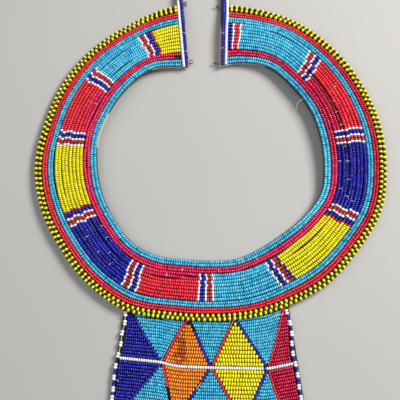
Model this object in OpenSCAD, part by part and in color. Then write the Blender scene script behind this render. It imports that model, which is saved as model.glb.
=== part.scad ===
// A flat beaded collar with a hanging panel, as it lies on a table.
// Strings of glass seed beads are sewn side by side on a sheet of hide. Each string, or group of
// strings of one colour, is one solid here. +Z is up, +Y points to the open back of the neck and
// the panel hangs towards -Y. The origin is under the middle of the part, on the table.

/* [Neck opening] */
// Mean width of the neck opening
neck_w = 145; // [130:1:165]
// Gap between the two ends at the neck edge
back_gap_inner = 19; // [16:0.5:30]
// Gap between the two ends at the outer edge
back_gap_outer = 24.5; // [20:0.5:36]
// How far the gap sits to the left of the middle of the neck, at the neck edge
back_shift_inner = 3.5; // [0:0.5:8]
// How far the gap sits to the left at the outer edge
back_shift_outer = 5; // [0:0.5:8]

/* [Bead diameters] */
// Yellow and black rim beads
rim_bead_d = 2.3; // [2:0.1:2.8]
// Scarlet beads beside the rim
red_bead_d = 1.75; // [1.6:0.05:2.4]
// Turquoise beads of the outer pair
turquoise_bead_d = 1.85; // [1.6:0.05:2.4]
// Beads of the coloured field
field_bead_d = 2.25; // [1.7:0.05:2.5]
// Crimson beads of the inner pair
crimson_bead_d = 1.9; // [1.6:0.1:2.4]
// Turquoise beads along the neck
neck_bead_d = 2.05; // [1.7:0.05:2.5]
// White and navy beads across the ends
end_bead_d = 1.9; // [1.5:0.1:2.3]
// Pitch of the beads along a string
bead_pitch = 1.4; // [1.2:0.05:1.8]

/* [Strings] */
// Strings in each narrow group
pair_rows = 2; // [1:1:3]
// Strings in the coloured field
field_rows = 8; // [4:1:10]
// Beads along each string of a divider between two blocks
divider_beads = 7; // [5:1:9]
// Beads along each string of the last divider, beside the right end
last_divider_beads = 6; // [4:1:8]
// Space between two groups of strings
group_gap = 0.3; // [0.1:0.05:0.6]

/* [Hide] */
// Thickness of the hide
hide_t = 1.2; // [0.8:0.1:2]
// Hide left bare inside the innermost string
neck_margin = 0.4; // [0.1:0.1:1]
// How far the outermost string overhangs the hide
rim_overhang = 0.6; // [0:0.1:1.2]
// Hide left bare past the strings that cross an end
end_margin = 0.7; // [0.3:0.1:1.5]
// How far the end strings run past the outer edge
end_reach = 9; // [3:0.5:15]

/* [Form] */
// Highest lift of the neck edge off the table
lift = 6; // [3:0.5:9]
// How much the band arches between its edges
crown = 1.6; // [0.5:0.1:2.5]

/* [Panel] */
// Width of the panel under the collar
panel_top_w = 99; // [80:1:110]
// Width of the panel at its lower edge
panel_bottom_w = 117; // [90:1:135]
// Depth of the panel below the lowest point of the collar
panel_drop = 58; // [48:1:75]
// Shift of the panel to the left
panel_shift = 2.5; // [0:0.5:6]
// Height of the white string over the lower edge, in the middle
panel_row_h = 32; // [24:1:40]
// How far the hide of the panel runs up under the collar
panel_tuck = 8; // [5:0.5:12]
// Hide left bare beside the edging strings
panel_margin = 0.4; // [0.1:0.1:1]
// Beads of the white string across the panel
panel_row_bead_d = 2.1; // [1.8:0.1:2.6]
// Beads of the edging string
panel_edge_bead_d = 2.2; // [1.8:0.1:2.6]
// Beads of the outlines
outline_bead_d = 1.7; // [1.4:0.1:2.2]
// Turquoise beads of the panel
panel_turquoise_bead_d = 1.9; // [1.6:0.1:2.3]
// Navy beads of the panel
panel_navy_bead_d = 2; // [1.6:0.1:2.4]
// Orange beads of the panel
panel_orange_bead_d = 2.2; // [1.8:0.1:2.6]
// Yellow beads of the panel
panel_yellow_bead_d = 2.4; // [1.8:0.1:2.8]
// Crimson beads of the panel
panel_crimson_bead_d = 2; // [1.6:0.1:2.4]

/* [Hooks and eyes] */
// Thickness of the wire
wire_d = 0.6; // [0.4:0.1:1]
// Inside width of an eye
eye_w = 1.8; // [1.2:0.1:3]
// Length of wire under the hide
wire_tail = 5; // [3:0.5:9]
// Length of a hook past the hide
hook_l = 4; // [3:0.5:7]

/* [Hidden] */
// Gap kept between neighbouring pieces
piece_gap = 0.1;
// Largest turn from one section of a sweep to the next, in degrees
ring_step = 8;
neck_r = neck_w / 2;
// Where each group of strings starts, measured from the neck edge of the hide
neck_x = neck_margin;
crimson_x = neck_x + pair_rows * neck_bead_d + group_gap;
field_x = crimson_x + pair_rows * crimson_bead_d + group_gap;
turquoise_x = field_x + field_rows * field_bead_d + group_gap;
red_x = turquoise_x + pair_rows * turquoise_bead_d + group_gap;
rim_x = red_x + pair_rows * red_bead_d + group_gap;
band_w = rim_x + pair_rows * rim_bead_d;
hide_w = band_w - rim_overhang;
// Where the hide bends, across the band
HIDE_XS = [0, crimson_x, field_x, turquoise_x, red_x, rim_x, hide_w];
// Room under the outer edge where the panel or a wire is sewn on
seat_h = max(hide_t, wire_d) + piece_gap;
// Bead string laid on the hide: height of its middle for a bead diameter
function string_h(d) = hide_t + piece_gap + d / 2;

// The collar, every 15 degrees from behind the left shoulder over the front to the right one.
// Columns: angle, neck radius share, band width share, share of the lift at the neck edge,
// share of the lift at the outer edge, share of the seat height under the outer edge
SECTION_STEP = 15;
SECTIONS = [
    [-270, 0.942, 1.133, 0.25, 0, 1],
    [-255, 0.952, 1.09, 0.35, 0, 1],
    [-240, 1.024, 0.917, 0.75, 0, 0.4],
    [-225, 1.02, 0.945, 0.95, 0, 0],
    [-210, 1.009, 0.958, 0.9, 0, 0],
    [-195, 1.011, 0.937, 0.75, 0.05, 0],
    [-180, 0.985, 1.02, 0.6, 0.1, 0],
    [-165, 0.969, 1.01, 0.5, 0.15, 0],
    [-150, 0.954, 0.975, 0.4, 0.05, 0.6],
    [-135, 0.954, 0.955, 0.3, 0, 1],
    [-120, 0.912, 0.998, 0.2, 0, 1],
    [-105, 0.852, 0.965, 0.1, 0, 1],
    [-90, 0.833, 0.95, 0.1, 0, 1],
    [-75, 0.846, 0.957, 0.1, 0, 1],
    [-60, 0.842, 1.013, 0.15, 0, 1],
    [-45, 0.861, 1.075, 0.25, 0, 1],
    [-30, 0.92, 1.022, 0.4, 0.05, 0.5],
    [-15, 0.986, 1.015, 0.55, 0.05, 0],
    [0, 0.987, 1.035, 0.75, 0, 0],
    [15, 0.995, 1.043, 0.85, 0, 0],
    [30, 1.012, 1.018, 0.85, 0, 0],
    [45, 1.024, 1.013, 0.75, 0, 0],
    [60, 1.047, 0.97, 0.6, 0, 0.4],
    [75, 0.989, 1.02, 0.35, 0, 1],
    [90, 0.912, 1.13, 0.25, 0, 1],
];
// The striped dividers from the left end round to the right one. Columns: angle of the middle,
// lean of the band's outer edge against its neck edge in degrees.
// One more divider, the last, runs up to the strings across the right end.
DIVIDERS = [
    [-244.2, 0],
    [-218.4, 0],
    [-191.2, 2.2],
    [-158.4, 0.5],
    [-124.9, 6.8],
    [-91.9, 0.5],
    [-58.5, 2],
    [-21.3, -1],
    [12, 0],
    [45.2, 5.7],
];
FIELD_COLOURS = ["gold", "turquoise", "red", "gold", "navy", "red",
    "turquoise", "gold", "navy", "red", "turquoise"];

function lerp(a, b, t) = a + (b - a) * t;
function unit(v) = v / norm(v);
function to_deg(arc, radius) = arc / radius * 180 / PI;
function smooth(p, q, r, s, t) =
    0.5 * (2 * q + (r - p) * t + (2 * p - 5 * q + 4 * r - s) * t * t
        + (3 * q - p - 3 * r + s) * t * t * t);
function section_value(column, k) = SECTIONS[max(0, min(k, len(SECTIONS) - 1))][column];
// A column of the table at any angle, on a smooth curve through its rows
function section_at(column, angle) =
    let(u = (angle - SECTIONS[0][0]) / SECTION_STEP)
    let(k = max(0, min(floor(u), len(SECTIONS) - 2)))
    smooth(section_value(column, k - 1), section_value(column, k),
        section_value(column, k + 1), section_value(column, k + 2), u - k);
function inner_r(angle) = neck_r * section_at(1, angle);
function outer_r(angle) = inner_r(angle) + band_w * section_at(2, angle);
function inner_z(angle) = lift * section_at(3, angle);
function outer_z(angle) = max(0, lift * section_at(4, angle) + seat_h * section_at(5, angle));
function polar(radius, angle) = [radius * cos(angle), radius * sin(angle)];

// A ring is a line across the band: its angle at the neck edge and its angle at the outer edge.
function plan(ring, x) =
    lerp(polar(inner_r(ring[0]), ring[0]), polar(outer_r(ring[1]), ring[1]), x / band_w);
function under_z(ring, x) =
    let(s = min(x / band_w, 1))
    lerp(inner_z(ring[0]), outer_z(ring[1]), s) + 4 * crown * s * (1 - s);
// A point of the band: a distance x from the neck edge and a height over the underside
function band_point(ring, x, height) =
    let(p = plan(ring, x)) [p[0], p[1], under_z(ring, x) + height];

// The two ends lie along lines through the gap's corners. A positive offset moves such a line
// from the open end into the band.
LEFT = 0;
RIGHT = 1;
function left_angle(gap, shift, radius) = -270 + asin((gap / 2 + shift) / radius);
function right_angle(gap, shift, radius) = 90 - asin((gap / 2 - shift) / radius);
back_r = inner_r(90);
back_outer_r = outer_r(90);
function end_ring(side, offset) =
    side == LEFT
    ? [left_angle(back_gap_inner, back_shift_inner, back_r) + to_deg(offset, back_r),
        left_angle(back_gap_outer, back_shift_outer, back_outer_r) + to_deg(offset, back_outer_r)]
    : [right_angle(back_gap_inner, back_shift_inner, back_r) - to_deg(offset, back_r),
        right_angle(back_gap_outer, back_shift_outer, back_outer_r) - to_deg(offset, back_outer_r)];
navy_offset = end_margin + end_bead_d / 2;
white_offset = navy_offset + end_bead_d + piece_gap;
end_w = white_offset + end_bead_d / 2;

// Breaks between the blocks and dividers of the field, from the left end to the right one
field_mid_x = field_x + field_rows * field_bead_d / 2;
function mid_r(ring) = norm(plan(ring, field_mid_x));
function turned(ring, arc) = ring + [1, 1] * to_deg(arc, mid_r(ring));
function divider_ring(row) =
    let(s = field_mid_x / band_w) [row[0] - s * row[1], row[0] + (1 - s) * row[1]];
last_ring = end_ring(RIGHT, end_w + piece_gap);
BREAKS = [
    end_ring(LEFT, end_w + piece_gap),
    for (row = DIVIDERS) for (side = [-0.5, 0.5])
        turned(divider_ring(row), side * divider_beads * bead_pitch),
    turned(last_ring, -last_divider_beads * bead_pitch),
    last_ring,
];
function steps(k) = max(1, ceil((BREAKS[k + 1][0] - BREAKS[k][0]) / ring_step));
BAND_RINGS = [
    for (k = [0:len(BREAKS) - 2]) for (i = [0:steps(k) - 1])
        lerp(BREAKS[k], BREAKS[k + 1], i / steps(k)),
    last_ring,
];
// The hide also carries a tab under the strings across each end, which runs past the outer edge.
// Its rings have a third number: how far the outer side reaches past the band.
tab_step = 0.05;
function hide_x(x, reach) = x == hide_w ? hide_w + reach : x;
HIDE_RINGS = concat(
    [for (offset = [0, end_w]) concat(end_ring(LEFT, offset), end_reach)],
    [for (ring = concat([end_ring(LEFT, end_w + tab_step)], BAND_RINGS,
        [end_ring(RIGHT, end_w + tab_step)])) concat(ring, 0)],
    [for (offset = [end_w, 0]) concat(end_ring(RIGHT, offset), end_reach)]
);

// The point of the rim straight over a place, found by turning towards it a few times
function rim_point(angle) = plan([angle, angle], band_w);
function rim_angle(x, turns = 5, angle = -90) =
    turns == 0 ? angle : rim_angle(x, turns - 1, -90 + asin(x / norm(rim_point(angle))));
function rim_over(x) = rim_point(rim_angle(x));

// The panel hangs from the rim and widens steadily from its left corner there downwards.
panel_low_y = rim_point(-90)[1] - panel_drop;
corner_y = rim_over(-panel_shift - panel_top_w / 2)[1];
function panel_w(y) =
    lerp(panel_top_w, panel_bottom_w, (corner_y - y) / (corner_y - panel_low_y));
function panel_x(share, y) = -panel_shift + (share - 0.5) * panel_w(y);
// The sagging white string: share of the panel's width, share of the string's height
WHITE_ROW = [[0, 1.13], [0.25, 1.045], [0.34, 1], [0.52, 0.95], [0.84, 0.925], [1, 1.03]];
function row_y(share) = panel_low_y + panel_row_h * lookup(share, WHITE_ROW);
function row_point(share) = [panel_x(share, row_y(share)), row_y(share)];
// Outlines, left to right: share of the panel's width at the collar, at the white string and at
// the lower edge. The first and last rows are the edging strings. Where two neighbours have the
// same share they meet in the corner of a diamond, each on its own side of it.
LINES = [
    [0, 0, 0],
    [0.045, 0.25, 0.03],
    [0.388, 0.25, 0.335],
    [0.388, 0.525, 0.335],
    [0.674, 0.525, 0.686],
    [0.674, 0.841, 0.686],
    [0.975, 0.841, 0.91],
    [1, 1, 1],
];
AT_COLLAR = 0;
AT_ROW = 1;
AT_LOW = 2;
// How far a line keeps from such a corner, in thicknesses of its string, at each of the three
CORNER_SHARES = [0.65, 0.32, 1];
NAVY_LINES = [1, 3, 5];
RED_LINES = [2, 4, 6];
function line_d(k) = k == 0 || k == len(LINES) - 1 ? panel_edge_bead_d : outline_bead_d;
function same(k, j, column) =
    j >= 0 && j < len(LINES) && LINES[k][column] == LINES[j][column];
function line_x(k, column, y) =
    let(side = same(k, k + 1, column) ? -1 : same(k, k - 1, column) ? 1 : 0)
    panel_x(LINES[k][column], y) + side * CORNER_SHARES[column] * outline_bead_d;
function line_top(k) = rim_over(line_x(k, AT_COLLAR, corner_y));
function line_row(k) = let(y = row_y(LINES[k][AT_ROW])) [line_x(k, AT_ROW, y), y];
// The lower part of a line at the height y
function line_low(k, y) =
    let(row = line_row(k), low = [line_x(k, AT_LOW, panel_low_y), panel_low_y])
    lerp(row, low, (row[1] - y) / (row[1] - low[1]));
// Where a string of the thickness d may start on a line, clear of the rim, and where it may end,
// clear of the lower edging
edging_y = panel_low_y + panel_edge_bead_d + piece_gap;
function string_start(k, d) =
    let(top = line_top(k), t = unit(line_row(k) - top), c = t * unit(top))
    top + t * (piece_gap + d / 2 * sqrt(1 - c * c)) / c;
function string_end(k, d) =
    let(t = unit(line_low(k, panel_low_y) - line_row(k)))
    line_low(k, edging_y + d / 2 * abs(t[0]));
panel_hide_top_y = corner_y + panel_tuck;

// The middle of the part on the table
rim_xs = [for (ring = BAND_RINGS) plan(ring, band_w)[0]];
tab_ys = [for (side = [LEFT, RIGHT]) for (offset = [0, end_w])
    plan(end_ring(side, offset), hide_w + end_reach)[1]];
middle = [(min(rim_xs) + max(rim_xs)) / 2, (panel_low_y + max(tab_ys)) / 2];

// Joins the same closed outline at every ring. caps lists the outline's own triangles.
// From the edge numbered turn on, the diagonals run the other way, so that the top of one piece
// is folded like the underside of the next.
module skin(loops, caps, turn = undef) {
    n = len(loops[0]);
    last = (len(loops) - 1) * n;
    sides = [
        for (i = [0:len(loops) - 2])
            for (j = [0:n - 1])
                let(a = i * n + j, b = i * n + (j + 1) % n)
                each turn != undef && j >= turn
                    ? [[a, b, a + n], [b, b + n, a + n]]
                    : [[a, b, b + n], [a, b + n, a + n]],
    ];
    start = [for (t = caps) [t[2], t[1], t[0]]];
    end = [for (t = caps) [t[0] + last, t[1] + last, t[2] + last]];
    polyhedron(points = [for (loop = loops) each loop], faces = concat(sides, start, end));
}

// Strings side by side, their tops rounded off by two points each.
// The outline runs along the hide and back over the strings, from the last to the first.
side_share = 0.55;
shoulder_share = 0.27;
shoulder_h = 0.96;
function strings_outline(x, rows, d) = concat(
    [[x, 0], [x + rows * d, 0], [x + rows * d, side_share * d]],
    [for (k = [rows - 1:-1:0])
        each [[x + (k + 1 - shoulder_share) * d, shoulder_h * d],
            [x + (k + shoulder_share) * d, shoulder_h * d],
            [x + k * d, side_share * d]]]
);
function strings_caps(rows) = concat(
    [[0, 1, 2]],
    [for (k = [0:rows - 1]) each [[0, 2 + 3 * k, 5 + 3 * k],
        [5 + 3 * k, 2 + 3 * k, 3 + 3 * k], [5 + 3 * k, 3 + 3 * k, 4 + 3 * k]]]
);
module strings(rings, x, rows, d) {
    outline = strings_outline(x, rows, d);
    base = hide_t + piece_gap;
    skin([for (ring = rings) [for (p = outline) band_point(ring, p[0], base + p[1])]],
        strings_caps(rows));
}

// A string or wire of one thickness along a path. side is a direction that the path never takes.
TUBE_SIDES = 8;
module tube(path, d, side = [0, 0, 1]) {
    last = len(path) - 1;
    loops = [
        for (i = [0:last])
            let(t = unit(path[min(i + 1, last)] - path[max(i - 1, 0)]))
            let(u = unit(cross(side, t)), v = cross(t, u))
            [for (k = [0:TUBE_SIDES - 1])
                let(a = (k + 0.5) * 360 / TUBE_SIDES)
                path[i] + d / 2 / cos(180 / TUBE_SIDES) * (u * cos(a) - v * sin(a))],
    ];
    skin(loops, [for (k = [1:TUBE_SIDES - 2]) [0, k, k + 1]]);
}

module collar_hide() {
    n = len(HIDE_XS);
    outline = concat([for (x = HIDE_XS) [x, 0]],
        [for (i = [n - 1:-1:0]) [HIDE_XS[i], hide_t]]);
    loops = [
        for (ring = HIDE_RINGS)
            [for (p = outline) band_point(ring, hide_x(p[0], ring[2]), p[1])],
    ];
    color("tan") skin(loops, [for (i = [0:n - 2])
        each [[i, i + 1, 2 * n - 2 - i], [i, 2 * n - 2 - i, 2 * n - 1 - i]]], turn = n);
}

module inner_turquoise_strings() color("turquoise") strings(BAND_RINGS, neck_x, pair_rows, neck_bead_d);
module crimson_strings() color("crimson") strings(BAND_RINGS, crimson_x, pair_rows, crimson_bead_d);
module outer_turquoise_strings()
    color("turquoise") strings(BAND_RINGS, turquoise_x, pair_rows, turquoise_bead_d);
module outer_red_strings() color("red") strings(BAND_RINGS, red_x, pair_rows, red_bead_d);
module rim_strings() color("yellow") strings(BAND_RINGS, rim_x, pair_rows, rim_bead_d);

// The blocks and dividers take turns along the field, each a little short of its neighbour.
function field_rings(k) =
    let(start = turned(BREAKS[k], piece_gap / 2), end = turned(BREAKS[k + 1], -piece_gap / 2))
    [for (i = [0:steps(k)]) lerp(start, end, i / steps(k))];
module field(number)
    color(FIELD_COLOURS[number - 1])
        strings(field_rings(2 * number - 2), field_x, field_rows, field_bead_d);
module divider(number)
    color("white") strings(field_rings(2 * number - 1), field_x, field_rows, field_bead_d);

module end_string(side, offset) {
    ring = end_ring(side, offset);
    tube([for (x = HIDE_XS) band_point(ring, hide_x(x, end_reach), string_h(end_bead_d))],
        end_bead_d);
}
module left_end_white() color("white") end_string(LEFT, white_offset);
module left_end_navy() color("navy") end_string(LEFT, navy_offset);
module right_end_white() color("white") end_string(RIGHT, white_offset);
module right_end_navy() color("navy") end_string(RIGHT, navy_offset);

// Wires sewn under the ends. A wire leaves the end at a distance x from the neck edge, turned
// from the straight way out, and its own path is [way out, way across, height].
module end_wire(side, x, turn, path, side_axis) {
    ring = end_ring(side, 0);
    foot = plan(ring, x);
    along = unit(plan(ring, band_w) - plan(ring, 0));
    out = side == LEFT ? [along[1], -along[0]] : [-along[1], along[0]];
    start = [foot[0], foot[1], under_z(ring, x) - piece_gap - wire_d / 2];
    angle = atan2(out[1], out[0]) + turn;
    translate(start) rotate([0, 0, angle]) tube(path, wire_d, side_axis);
}
leg_y = wire_d / 2 + piece_gap;
ring_r = (eye_w + wire_d) / 2;
leg_angle = asin(leg_y / ring_r);
eye_x = ring_r * cos(leg_angle) + wire_d / 2;
eye_turn = 180 - leg_angle;
eye_steps = 10;
EYE_PATH = concat(
    [[-wire_tail, -leg_y, 0]],
    [for (i = [0:eye_steps])
        let(a = lerp(-eye_turn, eye_turn, i / eye_steps))
        [eye_x + ring_r * cos(a), ring_r * sin(a), 0]],
    [[-wire_tail, leg_y, 0]]
);
hook_r = 0.8;
hook_tip = 1.2;
hook_steps = 6;
HOOK_PATH = concat(
    [[-wire_tail, 0, 0]],
    [for (i = [0:hook_steps])
        let(a = lerp(-90, 90, i / hook_steps))
        [hook_l - hook_r + hook_r * cos(a), 0, hook_r + hook_r * sin(a)]],
    [[hook_l - hook_r - hook_tip, 0, 2 * hook_r]]
);
// Where the wires are sewn on: a share of the band's width, and their turn from straight out
OUTER_EYE = 1.035;
INNER_EYE = 0.09;
OUTER_HOOK = 0.945;
INNER_HOOK = 0.06;
EYE_TURN = 0;
OUTER_HOOK_TURN = -35;
INNER_HOOK_TURN = 0;
module outer_eye()
    color("silver") end_wire(LEFT, OUTER_EYE * band_w, EYE_TURN, EYE_PATH, [0, 0, 1]);
module inner_eye()
    color("silver") end_wire(LEFT, INNER_EYE * band_w, EYE_TURN, EYE_PATH, [0, 0, 1]);
module outer_hook()
    color("dimgray") end_wire(RIGHT, OUTER_HOOK * band_w, OUTER_HOOK_TURN, HOOK_PATH, [0, 1, 0]);
module inner_hook()
    color("dimgray") end_wire(RIGHT, INNER_HOOK * band_w, INNER_HOOK_TURN, HOOK_PATH, [0, 1, 0]);

// The panel's hide is flat on the table and runs up under the collar.
module panel_hide() {
    side = panel_edge_bead_d / 2 + panel_margin;
    color("tan") linear_extrude(height = hide_t) polygon([
        [panel_x(0, panel_low_y) - side, panel_low_y],
        [panel_x(1, panel_low_y) + side, panel_low_y],
        [panel_x(1, panel_hide_top_y) + side, panel_hide_top_y],
        [panel_x(0, panel_hide_top_y) - side, panel_hide_top_y],
    ]);
}

// A flat strip around a line from p to q, carried on past both of its ends
module strip(p, q, half_w, past) {
    t = unit(q - p);
    n = [-t[1], t[0]];
    a = p - past * t;
    b = q + past * t;
    polygon([a - half_w * n, b - half_w * n, b + half_w * n, a + half_w * n]);
}

// What a field of the panel leaves free: the collar, the outlines and the strings around it
RIM_CUT = [for (ring = BAND_RINGS) if (plan(ring, band_w)[1] < 0) plan(ring, band_w + piece_gap)];
strip_past = 2 * rim_bead_d;
function past_top(k) = line_top(k) + strip_past * unit(line_top(k) - line_row(k));
module around_fields() {
    half_row = panel_row_bead_d / 2 + piece_gap;
    polygon(concat(RIM_CUT, [[0, 0]]));
    polygon(concat(
        [for (p = WHITE_ROW) row_point(p[0]) + [0, half_row]],
        [for (i = [len(WHITE_ROW) - 1:-1:0]) row_point(WHITE_ROW[i][0]) - [0, half_row]]
    ));
    for (k = [0:len(LINES) - 1]) {
        half_w = line_d(k) / 2 + piece_gap;
        strip(line_row(k), line_top(k), half_w, strip_past);
        strip(line_row(k), line_low(k, panel_low_y), half_w, strip_past);
    }
    strip(line_low(0, panel_low_y), line_low(len(LINES) - 1, panel_low_y),
        panel_edge_bead_d + piece_gap, strip_past);
}

// Horizontal strings between two lines of the panel, over or under the white string
UPPER = 0;
LOWER = 1;
module panel_field(part, k, d) {
    base = hide_t + piece_gap;
    rows = ceil((panel_hide_top_y - panel_low_y) / d);
    far = part == UPPER
        ? [past_top(k + 1), past_top(k)]
        : [line_low(k + 1, panel_low_y), line_low(k, panel_low_y)];
    intersection() {
        translate([-panel_bottom_w, panel_low_y, base])
            rotate([90, 0, 90])
                linear_extrude(height = 2 * panel_bottom_w) polygon(strings_outline(0, rows, d));
        linear_extrude(height = base + 2 * d) difference() {
            polygon([line_row(k), line_row(k + 1), far[0], far[1]]);
            around_fields();
        }
    }
}
PANEL_FIELDS = [
    ["navy", "mediumblue", panel_navy_bead_d],
    ["left_turquoise", "turquoise", panel_turquoise_bead_d],
    ["orange", "darkorange", panel_orange_bead_d],
    ["middle_turquoise", "turquoise", panel_turquoise_bead_d],
    ["yellow", "gold", panel_yellow_bead_d],
    ["right_turquoise", "turquoise", panel_turquoise_bead_d],
    ["crimson", "crimson", panel_crimson_bead_d],
];
function flat(p, z) = [p[0], p[1], z];
function moved(p, q, distance) = p + distance * unit(q - p);
module panel_white_row() {
    points = [for (p = WHITE_ROW) row_point(p[0])];
    last = len(points) - 1;
    clear = (panel_edge_bead_d + panel_row_bead_d) / 2;
    z = string_h(panel_row_bead_d);
    color("ivory") tube([
        flat(moved(points[0], points[1], clear), z),
        for (i = [1:last - 1]) flat(points[i], z),
        flat(moved(points[last], points[last - 1], clear), z),
    ], panel_row_bead_d);
}

// The outlines stop short of the white string, the collar and the lower edging.
module outlines(lines) {
    z = string_h(outline_bead_d);
    clear_row = (panel_row_bead_d + outline_bead_d) / 2 + 3 * piece_gap;
    for (k = lines) {
        row = line_row(k);
        top = string_start(k, outline_bead_d);
        low = string_end(k, outline_bead_d);
        tube([flat(top, z), flat(moved(row, top, clear_row), z)], outline_bead_d);
        tube([flat(moved(row, low, clear_row), z), flat(low, z)], outline_bead_d);
    }
}
module panel_outline_navy() color("navy") outlines(NAVY_LINES);
module panel_outline_red() color("red") outlines(RED_LINES);

module edging(k) {
    z = string_h(panel_edge_bead_d);
    color("white") tube([
        flat(string_start(k, panel_edge_bead_d), z),
        flat(line_row(k), z),
        flat(string_end(k, panel_edge_bead_d), z),
    ], panel_edge_bead_d);
}
module panel_edge_left() edging(0);
module panel_edge_right() edging(len(LINES) - 1);
module panel_edge_bottom() {
    y = panel_low_y + panel_edge_bead_d / 2;
    z = string_h(panel_edge_bead_d);
    side = [panel_edge_bead_d / 2, 0];
    color("white") tube([
        flat(line_low(0, y) - side, z),
        flat(line_low(len(LINES) - 1, y) + side, z),
    ], panel_edge_bead_d);
}

translate([-middle[0], -middle[1], 0]) {
    collar_hide();
    inner_turquoise_strings();
    crimson_strings();
    outer_turquoise_strings();
    outer_red_strings();
    rim_strings();
    for (i = [1:len(FIELD_COLOURS)]) {
        field(i);
        divider(i);
    }
    left_end_white();
    left_end_navy();
    right_end_white();
    right_end_navy();
    outer_eye();
    inner_eye();
    outer_hook();
    inner_hook();
    panel_hide();
    for (k = [0:len(PANEL_FIELDS) - 1]) {
        f = PANEL_FIELDS[k];
        color(f[1]) panel_field(UPPER, k, f[2]);
        color(f[1]) panel_field(LOWER, k, f[2]);
    }
    panel_white_row();
    panel_outline_navy();
    panel_outline_red();
    panel_edge_left();
    panel_edge_right();
    panel_edge_bottom();
}
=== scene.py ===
# %% [markdown]
# # Dressing a flat beaded collar
# The collar is a flat, C-shaped band with a square panel that hangs from its lower rim. On the real
# thing every string is a row of glass seed beads on a thread, sewn down side by side on a sheet of
# hide. The solids that this script loads give each pair of strings, or each block of one colour, as
# one ribbed bar. Here each bar gives way to its beads. The measures below are millimetres, and only
# the last step of each piece turns them into metres.

# %% Load the solids
import math
import random

import bmesh
import bpy
import numpy as np
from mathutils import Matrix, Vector, noise


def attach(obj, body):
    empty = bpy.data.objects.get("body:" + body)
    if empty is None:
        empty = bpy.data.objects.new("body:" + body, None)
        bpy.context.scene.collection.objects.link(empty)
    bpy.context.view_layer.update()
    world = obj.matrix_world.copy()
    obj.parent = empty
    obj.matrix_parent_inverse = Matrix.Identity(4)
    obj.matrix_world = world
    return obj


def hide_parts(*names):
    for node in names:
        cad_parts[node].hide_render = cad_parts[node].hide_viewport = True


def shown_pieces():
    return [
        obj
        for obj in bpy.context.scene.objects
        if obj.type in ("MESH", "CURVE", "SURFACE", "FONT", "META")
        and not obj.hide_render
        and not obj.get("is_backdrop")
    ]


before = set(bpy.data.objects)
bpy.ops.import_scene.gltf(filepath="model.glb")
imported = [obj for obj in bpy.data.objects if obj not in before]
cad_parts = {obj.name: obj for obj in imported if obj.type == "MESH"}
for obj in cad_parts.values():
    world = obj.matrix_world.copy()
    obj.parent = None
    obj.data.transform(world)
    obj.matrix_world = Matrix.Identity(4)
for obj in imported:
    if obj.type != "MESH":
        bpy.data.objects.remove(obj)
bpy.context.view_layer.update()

MM = 0.001
# The middle of the neck opening, in the frame of the part
NECK_MIDDLE = Vector((-0.400, 17.676, 0))
print("solids to dress:", len(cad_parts))


def in_frame(place):
    """A place measured from the middle of the neck, in metres from the origin of the part."""
    return (Vector(place) + NECK_MIDDLE) * MM


# %% [markdown]
# ## The sizes of the collar
# A maker knows the collar by a few sizes: the neck, the gap at the back, and the beads of each
# string. The strings lie edge to edge, so the place of each one follows from the beads before it.

# %% Sizes of the collar
NECK_W = 145
# Width of the gap at the back, and how far it sits to the left, at the neck edge and at the rim
GAPS, GAP_SHIFTS = (19, 24.5), (3.5, 5)
HIDE_T = 1.2
# Most that the neck edge stands up, and how far the middle of the band arches over a straight line
LIFT, CROWN = 6, 1.6
# Space between two parts that lie on or beside each other
AIR = 0.1
# Bare hide at the neck edge, beads past the hide at the rim, bare hide at the ends, length of the tabs
NECK_MARGIN, RIM_OVERHANG, END_MARGIN, END_REACH = 0.4, 0.6, 0.7, 9
# Space between two groups of strings
GROUP_GAP = 0.3
# Thickness of the beads of each group, then the usual room for one bead along a string
NECK_BEAD, CRIMSON_BEAD, FIELD_BEAD = 2.05, 1.9, 2.25
TURQUOISE_BEAD, RED_BEAD, RIM_BEAD, END_BEAD = 1.85, 1.75, 2.3, 1.9
PITCH = 1.4
WIRE_D = 0.6
# Where each group starts, measured from the neck edge
NECK_X = NECK_MARGIN
CRIMSON_X = NECK_X + 2 * NECK_BEAD + GROUP_GAP
FIELD_X = CRIMSON_X + 2 * CRIMSON_BEAD + GROUP_GAP
TURQUOISE_X = FIELD_X + 8 * FIELD_BEAD + GROUP_GAP
RED_X = TURQUOISE_X + 2 * TURQUOISE_BEAD + GROUP_GAP
RIM_X = RED_X + 2 * RED_BEAD + GROUP_GAP
BAND_W = RIM_X + 2 * RIM_BEAD
HIDE_W = BAND_W - RIM_OVERHANG
SEAT_H = max(HIDE_T, WIRE_D) + AIR
print(f"band {BAND_W:.1f} mm wide")

# %% [markdown]
# ## The form of the band
# The band isn't a true ring: it is a little squashed at the front, and its neck edge stands up from
# the surface where the hide has taken the bend of a neck. A short table of sections, smoothed by a
# curve through its rows, gives that form at any angle. The angle runs from the gap at the back, over
# the left shoulder, the front and the right shoulder, to the gap again.

# %% Sections of the band
# Numbers of the table's columns after the angle, and the degrees between two rows
RADIUS, WIDTH, NECK_LIFT, OUTER_LIFT, SEAT = 1, 2, 3, 4, 5
SECTION_STEP = 15
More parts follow.
